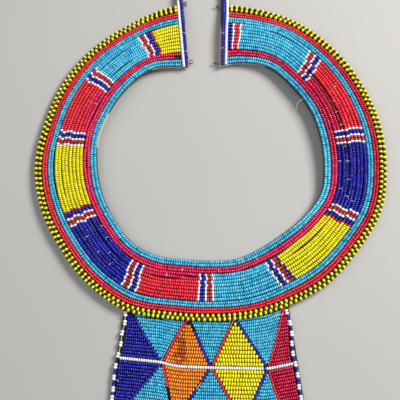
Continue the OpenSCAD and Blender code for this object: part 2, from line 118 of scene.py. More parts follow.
# Columns: angle, neck radius share, band width share, share of the lift at the neck edge, share of
# the lift at the outer edge, share of the seat height under the outer edge
SECTIONS = [
    (-270, 0.942, 1.133, 0.25, 0, 1), (-255, 0.952, 1.09, 0.35, 0, 1), (-240, 1.024, 0.917, 0.75, 0, 0.4),
    (-225, 1.02, 0.945, 0.95, 0, 0), (-210, 1.009, 0.958, 0.9, 0, 0), (-195, 1.011, 0.937, 0.75, 0.05, 0),
    (-180, 0.985, 1.02, 0.6, 0.1, 0), (-165, 0.969, 1.01, 0.5, 0.15, 0),
    (-150, 0.954, 0.975, 0.4, 0.05, 0.6), (-135, 0.954, 0.955, 0.3, 0, 1), (-120, 0.912, 0.998, 0.2, 0, 1),
    (-105, 0.852, 0.965, 0.1, 0, 1), (-90, 0.833, 0.95, 0.1, 0, 1), (-75, 0.846, 0.957, 0.1, 0, 1),
    (-60, 0.842, 1.013, 0.15, 0, 1), (-45, 0.861, 1.075, 0.25, 0, 1), (-30, 0.92, 1.022, 0.4, 0.05, 0.5),
    (-15, 0.986, 1.015, 0.55, 0.05, 0), (0, 0.987, 1.035, 0.75, 0, 0), (15, 0.995, 1.043, 0.85, 0, 0),
    (30, 1.012, 1.018, 0.85, 0, 0), (45, 1.024, 1.013, 0.75, 0, 0), (60, 1.047, 0.97, 0.6, 0, 0.4),
    (75, 0.989, 1.02, 0.35, 0, 1), (90, 0.912, 1.13, 0.25, 0, 1),
]


def lerp(a, b, t):
    return a + (b - a) * t


def section(column, angle):
    """One column of the table at any angle, on a smooth curve through its rows."""
    u = (angle - SECTIONS[0][0]) / SECTION_STEP
    k = max(0, min(math.floor(u), len(SECTIONS) - 2))
    p, q, r, s = (SECTIONS[max(0, min(k + i, len(SECTIONS) - 1))][column] for i in (-1, 0, 1, 2))
    t = u - k
    return 0.5 * (2 * q + (r - p) * t + (2 * p - 5 * q + 4 * r - s) * t**2 + (3 * q - p - 3 * r + s) * t**3)


def inner_r(angle):
    return NECK_W / 2 * section(RADIUS, angle)


def outer_r(angle):
    return inner_r(angle) + BAND_W * section(WIDTH, angle)


def polar(radius, angle):
    return Vector((radius * math.cos(math.radians(angle)), radius * math.sin(math.radians(angle)), 0))


# %% [markdown]
# A ring is a line across the band, given by its angle at the neck edge and its angle at the outer
# edge. A place on the band is then a ring, a distance from the neck edge and a height over the
# underside of the hide.

# %% Places on the band
def plan(ring, x):
    """A place on a ring, seen from above, x from the neck edge."""
    return polar(inner_r(ring[0]), ring[0]).lerp(polar(outer_r(ring[1]), ring[1]), x / BAND_W)


def under_z(ring, x):
    """Height of the underside of the hide."""
    s = min(x / BAND_W, 1)
    outer = max(0, LIFT * section(OUTER_LIFT, ring[1]) + SEAT_H * section(SEAT, ring[1]))
    return lerp(LIFT * section(NECK_LIFT, ring[0]), outer, s) + 4 * CROWN * s * (1 - s)


def band_point(ring, x, height):
    place = plan(ring, x)
    place.z = under_z(ring, x) + height
    return place


def between(a, b, t):
    """The ring at a share t of the way from one ring to another."""
    return (lerp(a[0], b[0], t), lerp(a[1], b[1], t))


LEFT, RIGHT = 0, 1
# Angle of the middle of the gap, as the left end and as the right end count it
GAP_ANGLES = (-270, 90)


def end_ring(side, offset):
    """The line across an open end, moved into the band by an offset."""
    start, sign = GAP_ANGLES[side], 1 if side == LEFT else -1
    return tuple(
        start + sign * math.degrees(math.asin((gap / 2 + sign * shift) / r) + offset / r)
        for gap, shift, r in zip(GAPS, GAP_SHIFTS, (inner_r(GAP_ANGLES[1]), outer_r(GAP_ANGLES[1])))
    )


# Places of the two strings across an end, and the whole width that they take
NAVY_OFFSET = END_MARGIN + END_BEAD / 2
WHITE_OFFSET = NAVY_OFFSET + END_BEAD + AIR
END_W = WHITE_OFFSET + END_BEAD / 2
print("the ends lie at", [round(a, 1) for a in end_ring(LEFT, 0) + end_ring(RIGHT, 0)])

# %% [markdown]
# ## Blocks and dividers
# The eight middle strings change colour together. Between two blocks lies a short striped divider of
# white, navy and red beads. The table gives the place, the lean and the beads of each divider, as
# the strings run from the left end round to the right one. N is navy, R is brick red, W is white.

# %% Where the blocks change
# Columns: angle of the middle, lean of the outer edge against the neck edge, beads along a string
DIVIDERS = [
    (-244.2, 0, "RNNWRRW"), (-218.4, 0, "WRRWNNW"), (-191.2, 2.2, "WNNWRRW"), (-158.4, 0.5, "RNNWRRW"),
    (-124.9, 6.8, "WRRWNNW"), (-91.9, 0.5, "WNNWRRW"), (-58.5, 2, "WNNWRRN"), (-21.3, -1, "RNNWRRW"),
    (12, 0, "WRRWNNW"), (45.2, 5.7, "WNNWRRW"),
]
LAST_DIVIDER = "WRRWNN"
FIELD_GLASSES = ["yellow", "turquoise", "scarlet", "yellow", "navy", "scarlet", "turquoise", "yellow",
                 "navy", "scarlet", "turquoise"]
FIELD_MID = FIELD_X + 4 * FIELD_BEAD


def turned(ring, arc):
    """A ring moved along the band by a length of arc at the middle of the coloured field."""
    turn = math.degrees(arc / plan(ring, FIELD_MID).length)
    return (ring[0] + turn, ring[1] + turn)


def divider_ring(angle, lean):
    """The middle ring of a divider, turned about the middle of the coloured field."""
    s = FIELD_MID / BAND_W
    return (angle - s * lean, angle + (1 - s) * lean)


FIRST_RING = end_ring(LEFT, END_W + AIR)
LAST_RING = end_ring(RIGHT, END_W + AIR)
BREAKS = [FIRST_RING]
for angle, lean, beads in DIVIDERS:
    BREAKS += [turned(divider_ring(angle, lean), side * len(beads) * PITCH) for side in (-0.5, 0.5)]
BREAKS += [turned(LAST_RING, -len(LAST_DIVIDER) * PITCH), LAST_RING]
print("changes of colour:", len(BREAKS) - 2)

# %% [markdown]
# ## Camera, floor and light
# The collar lies on a flat surface and is seen almost straight down, from 13 degrees in front of the
# vertical. A long lens at half a metre keeps the ring from spreading. The light is soft and comes
# from the right and a little from behind, so that each bead gets a small bright spot and the raised
# neck edge throws its shadow into the opening on the right.

# %% Camera
def new_object(name, data):
    """An object at the origin, put into the scene."""
    made = bpy.data.objects.new(name, data)
    bpy.context.scene.collection.objects.link(made)
    return made


view = bpy.data.cameras.new("camera")
view.sensor_width = 36
view.lens = 77.14
camera = new_object("camera", view)
# Seen from here, towards there, both from the middle of the neck
seen_from, seen_to = Vector((-6.5, -143.47, 529.16)), Vector((-6.5, -22, 3))
camera.location = in_frame(seen_from)
camera.rotation_euler = (seen_to - seen_from).to_track_quat("-Z", "Y").to_euler()
bpy.context.scene.camera = camera
print("camera", round((seen_to - seen_from).length), "mm away")

# %% Floor and light
# Half the side of the floor, in metres
FLOOR_REACH = 1.5


def mesh_from(shape, name):
    """Turns a bmesh into a mesh of its own."""
    mesh = bpy.data.meshes.new(name)
    shape.to_mesh(mesh)
    shape.free()
    return mesh


floor_shape = bmesh.new()
bmesh.ops.create_grid(floor_shape, x_segments=1, y_segments=1, size=FLOOR_REACH)
floor = new_object("floor", mesh_from(floor_shape, "floor"))
floor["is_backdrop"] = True

# Columns: name, place and width in metres, power in watts, colour
LIGHTS = [
    ("window", (0.75, 0.45, 0.75), 0.45, 19, (1, 0.98, 0.95)),
    ("far_wall", (-0.9, -0.3, 1.1), 1.2, 7.5, (0.95, 0.97, 1)),
]
# Each light is a square soft box that looks at the middle of the collar
for name, place, width, power, colour in LIGHTS:
    lamp = bpy.data.lights.new(name, "AREA")
    lamp.size, lamp.energy, lamp.color = width, power, colour
    holder = new_object(name, lamp)
    holder.location = place
    holder.rotation_euler = (-Vector(place)).to_track_quat("-Z", "Y").to_euler()

sky = bpy.data.worlds.new("sky")
sky.use_nodes = True
glow = sky.node_tree.nodes["Background"]
glow.inputs["Color"].default_value = (0.75, 0.8, 0.88, 1)
glow.inputs["Strength"].default_value = 0.3
bpy.context.scene.world = sky
# Shows the glass in its own colours, which the default view would make paler
bpy.context.scene.view_settings.view_transform = "Standard"

# %% [markdown]
# ## Glass
# Seed beads are cut from drawn glass and tumbled, so no two have quite the same colour or gloss.
# One shader group holds what all the glasses share: it takes a light and a dark shade of one glass,
# mixes them by a tone that each bead carries, and greys it a little where the skin and the dust of
# years have dulled it. A second mark darkens the bead's ends with dirt and with painted shade, the
# shade that falls between two beads. A tone under nought darkens the whole bead as painted shade, for
# the depth of a fold and for stretches in shade. Each glass then has its own material and its own
# Principled shader.

# %% Colours and node helpers
def shade(red, green, blue):
    """A colour, 0 to 255, as the linear values that shaders take, by the sRGB curve."""
    return tuple(
        (c / 255 / 12.92 if c <= 10 else ((c / 255 + 0.055) / 1.055) ** 2.4) for c in (red, green, blue)
    ) + (1,)


def node(tree, kind, inputs=None, **settings):
    """A node with its settings, and the values of the inputs that nothing is linked to."""
    made = tree.nodes.new(kind)
    for key, value in settings.items():
        setattr(made, key, value)
    for key, value in (inputs or {}).items():
        made.inputs[key].default_value = value
    return made


def join(tree, *links):
    """Links sockets. Each link is a node, its output, the next node and its input."""
    for source, output, target, entry in links:
        tree.links.new(source.outputs[output], target.inputs[entry])


print("pure red as linear values:", shade(255, 0, 0))


# %% The shared bead finish
def new_group(name, inputs, outputs):
    """A shader group with named sockets, each given as its name, its kind and its first value."""
    group = bpy.data.node_groups.new(name, "ShaderNodeTree")
    for kind, sockets in (("INPUT", inputs), ("OUTPUT", outputs)):
        for label, sort, value in sockets:
            socket = group.interface.new_socket(label, in_out=kind, socket_type=f"NodeSocket{sort}")
            if value is not None:
                socket.default_value = value
    return group, group.nodes.new("NodeGroupInput"), group.nodes.new("NodeGroupOutput")


# The share that darkens the ends of a bead stands for dirt and for painted shade between two beads
bead_finish, given, result = new_group(
    "bead finish",
    [("Light", "Color", (1, 1, 1, 1)), ("Dark", "Color", (0, 0, 0, 1)),
     ("Dust", "Color", (0.4, 0.35, 0.28, 1)), ("Dust share", "Float", 0.12),
     ("Dirt and shade share", "Float", 0.55), ("Gloss low", "Float", 0.12), ("Gloss high", "Float", 0.4)],
    [("Color", "Color", None), ("Roughness", "Float", None)],
)
# Colour of the glass, from dark to light by the bead's tone
tone = node(bead_finish, "ShaderNodeAttribute", attribute_name="tone")
mixed = node(bead_finish, "ShaderNodeMix", data_type="RGBA")
# Dust and dull skin, in clouds that take in many beads
place = node(bead_finish, "ShaderNodeTexCoord")
cloud = node(bead_finish, "ShaderNodeTexNoise", {"Scale": 60, "Detail": 4})
spread = node(bead_finish, "ShaderNodeMapRange", {"From Min": 0.45, "From Max": 0.8})
dust = node(bead_finish, "ShaderNodeMath", operation="MULTIPLY")
dusted = node(bead_finish, "ShaderNodeMix", data_type="RGBA")
gloss = node(bead_finish, "ShaderNodeMix", data_type="FLOAT")
# Dirt and painted shade at the ends of a bead, and painted shade all over one whose tone is under nought
groove = node(bead_finish, "ShaderNodeAttribute", attribute_name="groove")
deep = node(bead_finish, "ShaderNodeMath", operation="MULTIPLY")
sunk = node(bead_finish, "ShaderNodeMath", {1: -1}, operation="MULTIPLY")
darkest = node(bead_finish, "ShaderNodeMath", operation="MAXIMUM", use_clamp=True)
dirtied_and_shaded = node(bead_finish, "ShaderNodeMix", {"B": (0.1, 0.08, 0.06, 1)}, data_type="RGBA",
               blend_type="MULTIPLY")
join(
    bead_finish,
    (tone, "Fac", mixed, "Factor"), (given, "Dark", mixed, "A"), (given, "Light", mixed, "B"),
    (place, "Object", cloud, "Vector"), (cloud, "Fac", spread, "Value"),
    (spread, "Result", dust, 0), (given, "Dust share", dust, 1),
    (dust, "Value", dusted, "Factor"), (mixed, "Result", dusted, "A"), (given, "Dust", dusted, "B"),
    (spread, "Result", gloss, "Factor"), (given, "Gloss low", gloss, "A"), (given, "Gloss high", gloss, "B"),
    (groove, "Fac", deep, 0), (given, "Dirt and shade share", deep, 1), (tone, "Fac", sunk, 0),
    (deep, "Value", darkest, 0), (sunk, "Value", darkest, 1),
    (darkest, "Value", dirtied_and_shaded, "Factor"), (dusted, "Result", dirtied_and_shaded, "A"),
    (dirtied_and_shaded, "Result", result, "Color"), (gloss, "Result", result, "Roughness"),
)
print("sockets of the bead finish:", [s.name for s in bead_finish.interface.items_tree])

# %% The glasses
# White beads show less of the dirt and painted shade between them
WHITE_DIRT_AND_SHADE, GLASS_DIRT_AND_SHADE = 0.3, 0.55
# Columns: light shade, dark shade, share of dust, roughness of clean and of dull glass
GLASSES = {
    "turquoise": ((100, 222, 248), (30, 152, 204), 0.06, 0.2, 0.4),
    "scarlet": ((252, 54, 72), (212, 16, 44), 0.03, 0.2, 0.4),
    "crimson": ((250, 42, 105), (190, 10, 60), 0.03, 0.2, 0.4),
    "ruby": ((228, 30, 84), (172, 6, 46), 0.04, 0.2, 0.4),
    "brick": ((205, 52, 62), (150, 22, 34), 0.08, 0.25, 0.45),
    "yellow": ((255, 250, 25), (232, 214, 0), 0.04, 0.2, 0.4),
    "orange": ((255, 168, 45), (242, 122, 12), 0.04, 0.2, 0.4),
    "burnt_orange": ((220, 105, 18), (165, 60, 5), 0.05, 0.2, 0.4),
    "navy": ((42, 44, 200), (12, 12, 100), 0.02, 0.15, 0.3),
    "white": ((255, 255, 255), (238, 238, 234), 0.03, 0.2, 0.4),
    "black": ((30, 28, 18), (8, 7, 4), 0.1, 0.15, 0.35),
}


def new_material(name):
    made = bpy.data.materials.new(name)
    made.use_nodes = True
    return made, made.node_tree, made.node_tree.nodes["Principled BSDF"]


def glass(name, light, dark, dust_share, gloss_low, gloss_high):
    made, tree, shader = new_material(f"{name}_glass")
    finish = node(tree, "ShaderNodeGroup", node_tree=bead_finish)
    for label, value in (
        ("Light", shade(*light)), ("Dark", shade(*dark)), ("Dust share", dust_share),
        ("Dirt and shade share", WHITE_DIRT_AND_SHADE if name == "white" else GLASS_DIRT_AND_SHADE),
        ("Gloss low", gloss_low), ("Gloss high", gloss_high),
    ):
        finish.inputs[label].default_value = value
    join(tree, (finish, "Color", shader, "Base Color"), (finish, "Roughness", shader, "Roughness"))
    shader.inputs["IOR"].default_value = 1.5
    return made


glasses = {name: glass(name, *values) for name, values in GLASSES.items()}
print("glasses:", ", ".join(glasses))

# %% [markdown]
# ## Hide, thread and wire
# The hide is dark where the beads cover it, a near-black that is partly painted shade and keeps the
# gaps between the strings dark, and pale cream where the knife has cut it. A cut mark is stored on the
# points of the sheet, so the pale colour follows the edge however the sheet bends.
# Thread is matt and a little uneven, and the wire of the hooks has gone dull.

# %% Other finishes
# Depth of the grain in a finish, in metres
GRAIN_DEPTH = 0.0002


def coloured_by_noise(name, dark, light, scale, roughness, bump=0.0, metal=0.0):
    """A material whose colour wanders between two shades, with a fine grain in its surface."""
    made, tree, shader = new_material(name)
    spot = node(tree, "ShaderNodeTexCoord")
    grain = node(tree, "ShaderNodeTexNoise", {"Scale": scale, "Detail": 6})
    ramp = node(tree, "ShaderNodeMix", {"A": shade(*dark), "B": shade(*light)}, data_type="RGBA")
    join(tree, (spot, "Object", grain, "Vector"), (grain, "Fac", ramp, "Factor"),
         (ramp, "Result", shader, "Base Color"))
    if bump:
        relief = node(tree, "ShaderNodeBump", {"Strength": bump, "Distance": GRAIN_DEPTH})
        join(tree, (grain, "Fac", relief, "Height"), (relief, "Normal", shader, "Normal"))
    shader.inputs["Roughness"].default_value = roughness
    shader.inputs["Metallic"].default_value = metal
    return made, tree, shader, ramp


floor_finish = coloured_by_noise("pale_floor", (172, 170, 166), (178, 176, 172), 8, 0.75)[0]
floor.data.materials.append(floor_finish)
pale_thread = coloured_by_noise("pale_thread", (200, 190, 160), (250, 245, 225), 900, 0.8, 0.4)[0]
dull_wire = coloured_by_noise("dull_wire", (95, 92, 88), (165, 162, 156), 700, 0.35, 0.2, 1.0)[0]
dark_wire = coloured_by_noise("dark_wire", (50, 47, 44), (110, 104, 98), 700, 0.4, 0.2, 1.0)[0]
print("plain finishes:", [m.name for m in (floor_finish, pale_thread, dull_wire, dark_wire)])

# %% Hide with its cut edge
# The dark shades of the hide are partly painted shade, for the gaps between the strings
hide_finish, tree, shader, grain_side = coloured_by_noise("hide", (22, 16, 12), (48, 36, 27), 350, 0.8, 0.5)
cut = node(tree, "ShaderNodeAttribute", attribute_name="cut")
edge_mix = node(tree, "ShaderNodeMix", {"B": shade(232, 216, 182)}, data_type="RGBA")
join(tree, (cut, "Fac", edge_mix, "Factor"), (grain_side, "Result", edge_mix, "A"),
     (edge_mix, "Result", shader, "Base Color"))
print("materials:", len(bpy.data.materials))

# %% [markdown]
# ## One bead, and how it is threaded
# A seed bead is a short barrel with rounded ends and a hole. A half profile spun round the hole
# makes one from a few dozen faces, which matters because the collar has about ten thousand. They
# could be copied by hand or by a chain of array modifiers, but geometry nodes can set one on every
# point of a cloud, and read each bead's direction, size and tone from the point.

# %% One bead
# Half profile of a bead. Columns: radius, place along the hole
PROFILE = [(0.2, -0.5), (0.4, -0.43), (0.5, -0.14), (0.5, 0.14), (0.4, 0.43), (0.2, 0.5)]
BEAD_SIDES = 8
# How far from the bead's middle its ends begin, which take dirt and painted shade
CLEAN_UNSHADED_HALF = 0.2


def unit_bead():
    """A bead one unit long and one unit across, with its hole along Z."""
    shape = bmesh.new()
    points = [shape.verts.new((radius, 0, height)) for radius, height in PROFILE]
    edges = [shape.edges.new(pair) for pair in zip(points, points[1:])]
    bmesh.ops.spin(shape, geom=points + edges, cent=(0, 0, 0), axis=(0, 0, 1), angle=math.tau,
                   steps=BEAD_SIDES, use_merge=True)
    bmesh.ops.remove_doubles(shape, verts=shape.verts, dist=0.0001)
    bmesh.ops.recalc_face_normals(shape, faces=shape.faces)
    for face in shape.faces:
        face.smooth = True
    # The groove mark is where the finish paints dirt and painted shade on the bead's ends
    groove_mark = shape.verts.layers.float.new("groove")
    for point in shape.verts:
        point[groove_mark] = max(0, (abs(point.co.z) - CLEAN_UNSHADED_HALF) / (0.5 - CLEAN_UNSHADED_HALF)) ** 1.5
    return new_object("bead", mesh_from(shape, "bead"))


bead = unit_bead()
BEAD_FACES = len(bead.data.polygons)
print("faces of one bead:", BEAD_FACES)

# %% The threading nodes
threading = bpy.data.node_groups.new("threading", "GeometryNodeTree")
for way in ("INPUT", "OUTPUT"):
    threading.interface.new_socket("Geometry", in_out=way, socket_type="NodeSocketGeometry")
cloud_in, string_out = (threading.nodes.new(f"NodeGroup{way}") for way in ("Input", "Output"))
set_bead = threading.nodes.new("GeometryNodeInstanceOnPoints")
the_bead = node(threading, "GeometryNodeObjectInfo", {"Object": bead})
direction, size = (
    node(threading, "GeometryNodeInputNamedAttribute", {"Name": name}, data_type="FLOAT_VECTOR")
    for name in ("along", "size")
)
turn = node(threading, "FunctionNodeAlignRotationToVector", axis="Z")
whole = threading.nodes.new("GeometryNodeRealizeInstances")
join(
    threading,
    (cloud_in, "Geometry", set_bead, "Points"), (the_bead, "Geometry", set_bead, "Instance"),
    (direction, "Attribute", turn, "Vector"), (turn, "Rotation", set_bead, "Rotation"),
    (size, "Attribute", set_bead, "Scale"), (set_bead, "Instances", whole, "Geometry"),
    (whole, "Geometry", string_out, "Geometry"),
)
print("threading nodes:", len(threading.nodes))


# %% Strings of beads
def applied_mesh(thing):
    """The mesh of an object with its nodes or its bevel applied."""
    bpy.context.view_layer.update()
    return bpy.data.meshes.new_from_object(thing.evaluated_get(bpy.context.evaluated_depsgraph_get()))


def thread_beads(name, beads, colours, nodes):
    """Sets a bead on every place of the list and lets the piece stand for its solids.

    Each row of the list is (place, direction, diameter, length, colour name, tone)."""
    points = bmesh.new()
    along = points.verts.layers.float_vector.new("along")
    size = points.verts.layers.float_vector.new("size")
    tone = points.verts.layers.float.new("tone")
    for place, direction, diameter, length, _, bead_tone in beads:
        point = points.verts.new(in_frame(place))
        point[along] = direction
        point[size] = Vector((diameter, diameter, length)) * MM
        point[tone] = bead_tone
    piece = new_object(name, mesh_from(points, name))
    piece.modifiers.new("threading", "NODES").node_group = threading
    threaded = applied_mesh(piece)
    piece.modifiers.clear()
    piece.data = threaded
    threaded.name = name
    threaded.materials.clear()
    for colour in colours:
        threaded.materials.append(glasses[colour])
    order = np.repeat([colours.index(row[4]) for row in beads], BEAD_FACES)
    threaded.polygons.foreach_set("material_index", order)
    for spare in ("along", "size"):
        threaded.attributes.remove(threaded.attributes[spare])
    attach(piece, "root")
    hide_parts(*nodes)
    return piece


print("marks on each point: along, size and tone")

# %% [markdown]
# ## Creases and shade
# The right shoulder has been folded once: the third string of the red block has sunk there, down to
# the middle of the navy block, and its beads are darkened there as painted shade. Lighter creases
# open dark lines between other strings. Each one is a stretch of the band that pulls the strings
# beside it apart and down. A second table paints the beads of some stretches darker, as painted
# shade, and others brighter, as painted light.

# %% Creases of the band
# How blunt the two ends of a crease are
CREASE_ENDS = 0.6
# Columns: from this angle, to this angle, distance from the neck edge, width, drop, reach
CREASES = [
    (1, 46, FIELD_X + 2.5 * FIELD_BEAD, 0.2, 1.4, 1.5), (28, 48, FIELD_X + 3 * FIELD_BEAD, 0.25, 0.2, 1.5),
    (-14, 8, FIELD_X + FIELD_BEAD, 0.35, 0.3, 1.2), (-16, 10, FIELD_X + 3 * FIELD_BEAD, 0.35, 0.3, 1.2),
    (-18, 6, FIELD_X + 5 * FIELD_BEAD, 0.25, 0.3, 1.2), (-18, 6, FIELD_X + 7 * FIELD_BEAD, 0.2, 0.2, 1.2),
    (-121, -107, FIELD_X + 2 * FIELD_BEAD, 0.5, 0.5, 1.5),
    (-107, -95, FIELD_X + FIELD_BEAD, 0.4, 0.4, 1.5),
    (-156, -130, FIELD_X + 2 * FIELD_BEAD, 0.5, 0.5, 1.5),
    (-155, -143, FIELD_X + 7 * FIELD_BEAD, 0.3, 0.5, 1.5),
    (-210, -194, FIELD_X + 2.4 * FIELD_BEAD, 0.3, 0.7, 2.2),
    (-235, -222, FIELD_X + 6 * FIELD_BEAD, 0.4, 0.3, 1.5),
    (-235, -222, FIELD_X + 2 * FIELD_BEAD, 0.4, 0.3, 1.5),
    (-182, -168, FIELD_X + 5.9 * FIELD_BEAD, 0.2, 0.2, 1.5),
    (-50, -28, FIELD_X + 2 * FIELD_BEAD, 0.4, 0.4, 1.5),
    (50, 66, FIELD_X + 7 * FIELD_BEAD, 0.4, 0.4, 1.2),
    (-187, -176, CRIMSON_X + CRIMSON_BEAD, 0.35, 0.2, 1.2),
    (-211, -196, FIELD_X - GROUP_GAP / 2, 0.5, 0.3, 1.2),
    (-214, -195, FIELD_X + FIELD_BEAD, 0.25, 0.3, 1.2), (-214, -195, FIELD_X + 4 * FIELD_BEAD, 0.2, 0.2, 1.2),
    (-75, -52, FIELD_X - GROUP_GAP / 2, 0.5, 0.2, 1.2),
    (-190, -165, TURQUOISE_X - GROUP_GAP / 2, 0.5, 0.2, 1.2),
]


def creased(angle, x):
    """How far the creases push a string of the band outwards, and down."""
    push = drop = 0.0
    for start, stop, valley, width, depth, reach in CREASES:
        u = (angle - start) / (stop - start)
        if 0 < u < 1:
            fade = math.sin(math.pi * u) ** CREASE_ENDS
            off = x - valley
            push += fade * width * math.exp(-((off / (2 * reach)) ** 2)) * max(-1, min(1, off))
            drop += fade * depth * math.exp(-((off / reach) ** 2))
    return push, drop


print("deepest crease:", max(row[4] for row in CREASES), "mm")


# %% Darker and brighter stretches
def angle_of(place):
    """The angle of a place round the neck, as the table of sections counts it."""
    angle = math.degrees(math.atan2(place.y, place.x))
    return angle if place.y < 0 or place.x > 0 else angle - 360


# The table paints stretches of strings darker, as painted shade, and brighter, as painted light.
# Columns: from and to angle, from and to distance from the neck edge, how much darker in tone, where a
# value below nought is brighter
SHADES = [
    (0, 51, CRIMSON_X, FIELD_X + 3 * FIELD_BEAD, 0.35),
    (-42, 12, NECK_X, CRIMSON_X, -0.55), (20, 50, NECK_X, CRIMSON_X, 0.3),
    (-205, -155, CRIMSON_X, FIELD_X, -0.45), (-42, 5, CRIMSON_X, FIELD_X, -0.35),
    (49, 72, CRIMSON_X, FIELD_X, 0.3),
    (-268, -215, TURQUOISE_X, RED_X, 0.2), (-40, 75, TURQUOISE_X, RED_X, 0.18),
    (-30, 55, RED_X, RIM_X, 0.7), (-195, -125, RED_X, RIM_X, -0.3),
]


def shaded(angle, x):
    """How much darker a string of the band is painted at an angle, as painted shade; below nought, painted
    light.
    """
    return sum(share * math.sqrt(math.sin(math.pi * (angle - start) / (stop - start)))
               for start, stop, near, far, share in SHADES if start < angle < stop and near < x < far)


print("stretches with a shade of their own:", len(SHADES))

# %% A string of the band
# How a string wanders. Columns: pace of the change along it, pace from string to string, seed
OWN_SWAY, SHARED_SWAY, OWN_LIFT = (0.13, 2.3, 1.7), (0.05, 0.1, 9.1), (0.1, 0.35, 4.4)
# How far it wanders sideways and in height, and the degrees between two points of its line
SWAY, WAVE, LINE_STEP = 0.13, 0.15, 1.5


def string_h(diameter):
    """Height of the middle of a string that lies on the hide."""
    return HIDE_T + AIR + diameter / 2


def wander(along, across, wave):
    """A smooth random value between -1 and 1, with the paces and the seed of a wave."""
    return noise.noise(Vector((along * wave[0], across * wave[1], wave[2])))


def band_line(x, height, start, end, sway=SWAY):
    """A string of the band, from one ring to another."""
    count = max(6, math.ceil(abs(end[0] - start[0]) / LINE_STEP))
    line = []
    for i in range(count + 1):
        ring = between(start, end, i / count)
        push, drop = creased(ring[0], x)
        own, shared, lift = (wander(ring[0], x, wave) for wave in (OWN_SWAY, SHARED_SWAY, OWN_LIFT))
        line.append(band_point(ring, x + sway * (own + shared) + push, height + WAVE * lift - drop))
    return line


print("points of one string:", len(band_line(NECK_X, HIDE_T, FIRST_RING, LAST_RING)))

# %% [markdown]
# ## How a string lies
# A string is a line of points. Beads are set along it edge to edge. Hand sewing leaves its marks:
# the line sways a little, the beads differ in length and width, and the needle comes up every
# centimetre or so to hold the string down, which leaves a hair of space between two beads.

# %% Beads on a line
# Seeded, so that every run gives the same collar
dice = random.Random(7)
# How far a bead may lean, the middle, the spread and the least of the tones, and shares of its width
# A tone under nought, down to the least, darkens a bead as painted shade
TILT, TONE, TONE_SPREAD, TONE_LEAST, BEAD_WIDTHS = 0.07, 0.5, 0.22, -0.35, (0.96, 1.03)
# A bead's direction is read from the line this far before and behind it
LOOK = 0.4


def run(line):
    """The points of a line as an array, with the distance of each from the start."""
    points = np.array([tuple(p) for p in line])
    steps = np.linalg.norm(np.diff(points, axis=0), axis=1)
    return points, np.concatenate([[0], np.cumsum(steps)])


def length_of(line):
    return float(run(line)[1][-1])


def spot_on(points, distances, at):
    return Vector([float(np.interp(at, distances, points[:, i])) for i in range(3)])


def set_bead_at(points, distances, at, diameter, length, colour, tone_shift=0.0, sunk=0.0):
    """One bead on a line, a little out of true. A sunk one gets painted shade, dark as in the depth of a
    crease.
    """
    place = spot_on(points, distances, at)
    ahead = spot_on(points, distances, at + LOOK) - spot_on(points, distances, at - LOOK)
    tilt = Vector([dice.uniform(-TILT, TILT) for _ in range(3)])
    # A sunk bead takes its painted shade as a tone under nought
    tone = -sunk if sunk else min(1, max(TONE_LEAST, dice.gauss(TONE, TONE_SPREAD) + tone_shift))
    return (place, (ahead.normalized() + tilt).normalized(), diameter * dice.uniform(*BEAD_WIDTHS),
            length, colour, tone)


# %% Beads edge to edge
# Least and most: distance between stitches, tone and width of a string, length of its beads
STITCH_STEPS, STRING_TONES = (0.6, 1.4), (-0.1, 0.1)
STRING_WIDTHS, BEAD_LENGTHS = (0.96, 1.02), (0.95, 1.03)
# How far a bead slides on its thread
SLIDE = 0.04
# Drop of a crease from which beads look sunk, and how dark their painted shade is per millimetre and at most
SUNK_FROM, SUNK_SHARE, SUNK_MOST = 0.72, 0.42, 0.6


def stitches_along(total, every):
    """Distances along a string where the needle comes up, its two ends included."""
    cuts = [0.0]
    while cuts[-1] < total - 1.5 * every:
        cuts.append(cuts[-1] + every * dice.uniform(*STITCH_STEPS))
    return cuts + [total]


def beads_along(line, diameter, colours, pitch=PITCH, every=10.0, space=0.4, share=0.97, x=None):
    """Beads edge to edge along a line, with a hair of space where each stitch comes up.

    colours is one glass, or a function of the distance along the line that gives none where beads
    are lost. pitch is about how long a bead is, every the distance between stitches, space the most
    room that a stitch leaves, and share how much of its pitch a bead fills. x is given for a string
    of the band, whose beads get painted shade where a crease has let them sink, and painted shade and
    painted light from the table of shades."""
    points, distances = run(line)
    total = float(distances[-1])
    cuts = stitches_along(total, every)
    string_tone = dice.uniform(*STRING_TONES)
    string_width = diameter * dice.uniform(*STRING_WIDTHS)
    beads = []
    for start, stop in zip(cuts, cuts[1:]):
        stop -= space * dice.random() if stop < total else 0
        count = max(1, round((stop - start) / pitch))
        step = (stop - start) / count
        for at in (start + (i + 0.5) * step for i in range(count)):
            colour = colours(at) if callable(colours) else colours
            if not colour:
                continue
            shift, sunk = string_tone, 0.0
            # Painted shade for beads sunk in a crease, and painted shade and painted light from the table of
            # shades
            if x is not None:
                angle = angle_of(spot_on(points, distances, at))
                drop = creased(angle, x)[1]
                sunk = min(SUNK_MOST, SUNK_SHARE * drop) if drop > SUNK_FROM else 0.0
                shift -= shaded(angle, x)
            beads.append(set_bead_at(points, distances, at + dice.uniform(-SLIDE, SLIDE), string_width,
                                     step * share * dice.uniform(*BEAD_LENGTHS), colour, shift, sunk))
    return beads


print(f"beads that a crease drops by more than {SUNK_FROM} mm look sunk")

# %% [markdown]
# ## The narrow pairs
# Two turquoise strings run along the neck edge, two crimson ones beside them, and outside the
# coloured field lie two turquoise and two scarlet ones. Each pair is one piece. The inner crimson
# string dives under its neighbour near the left end, so a dark hole shows there.

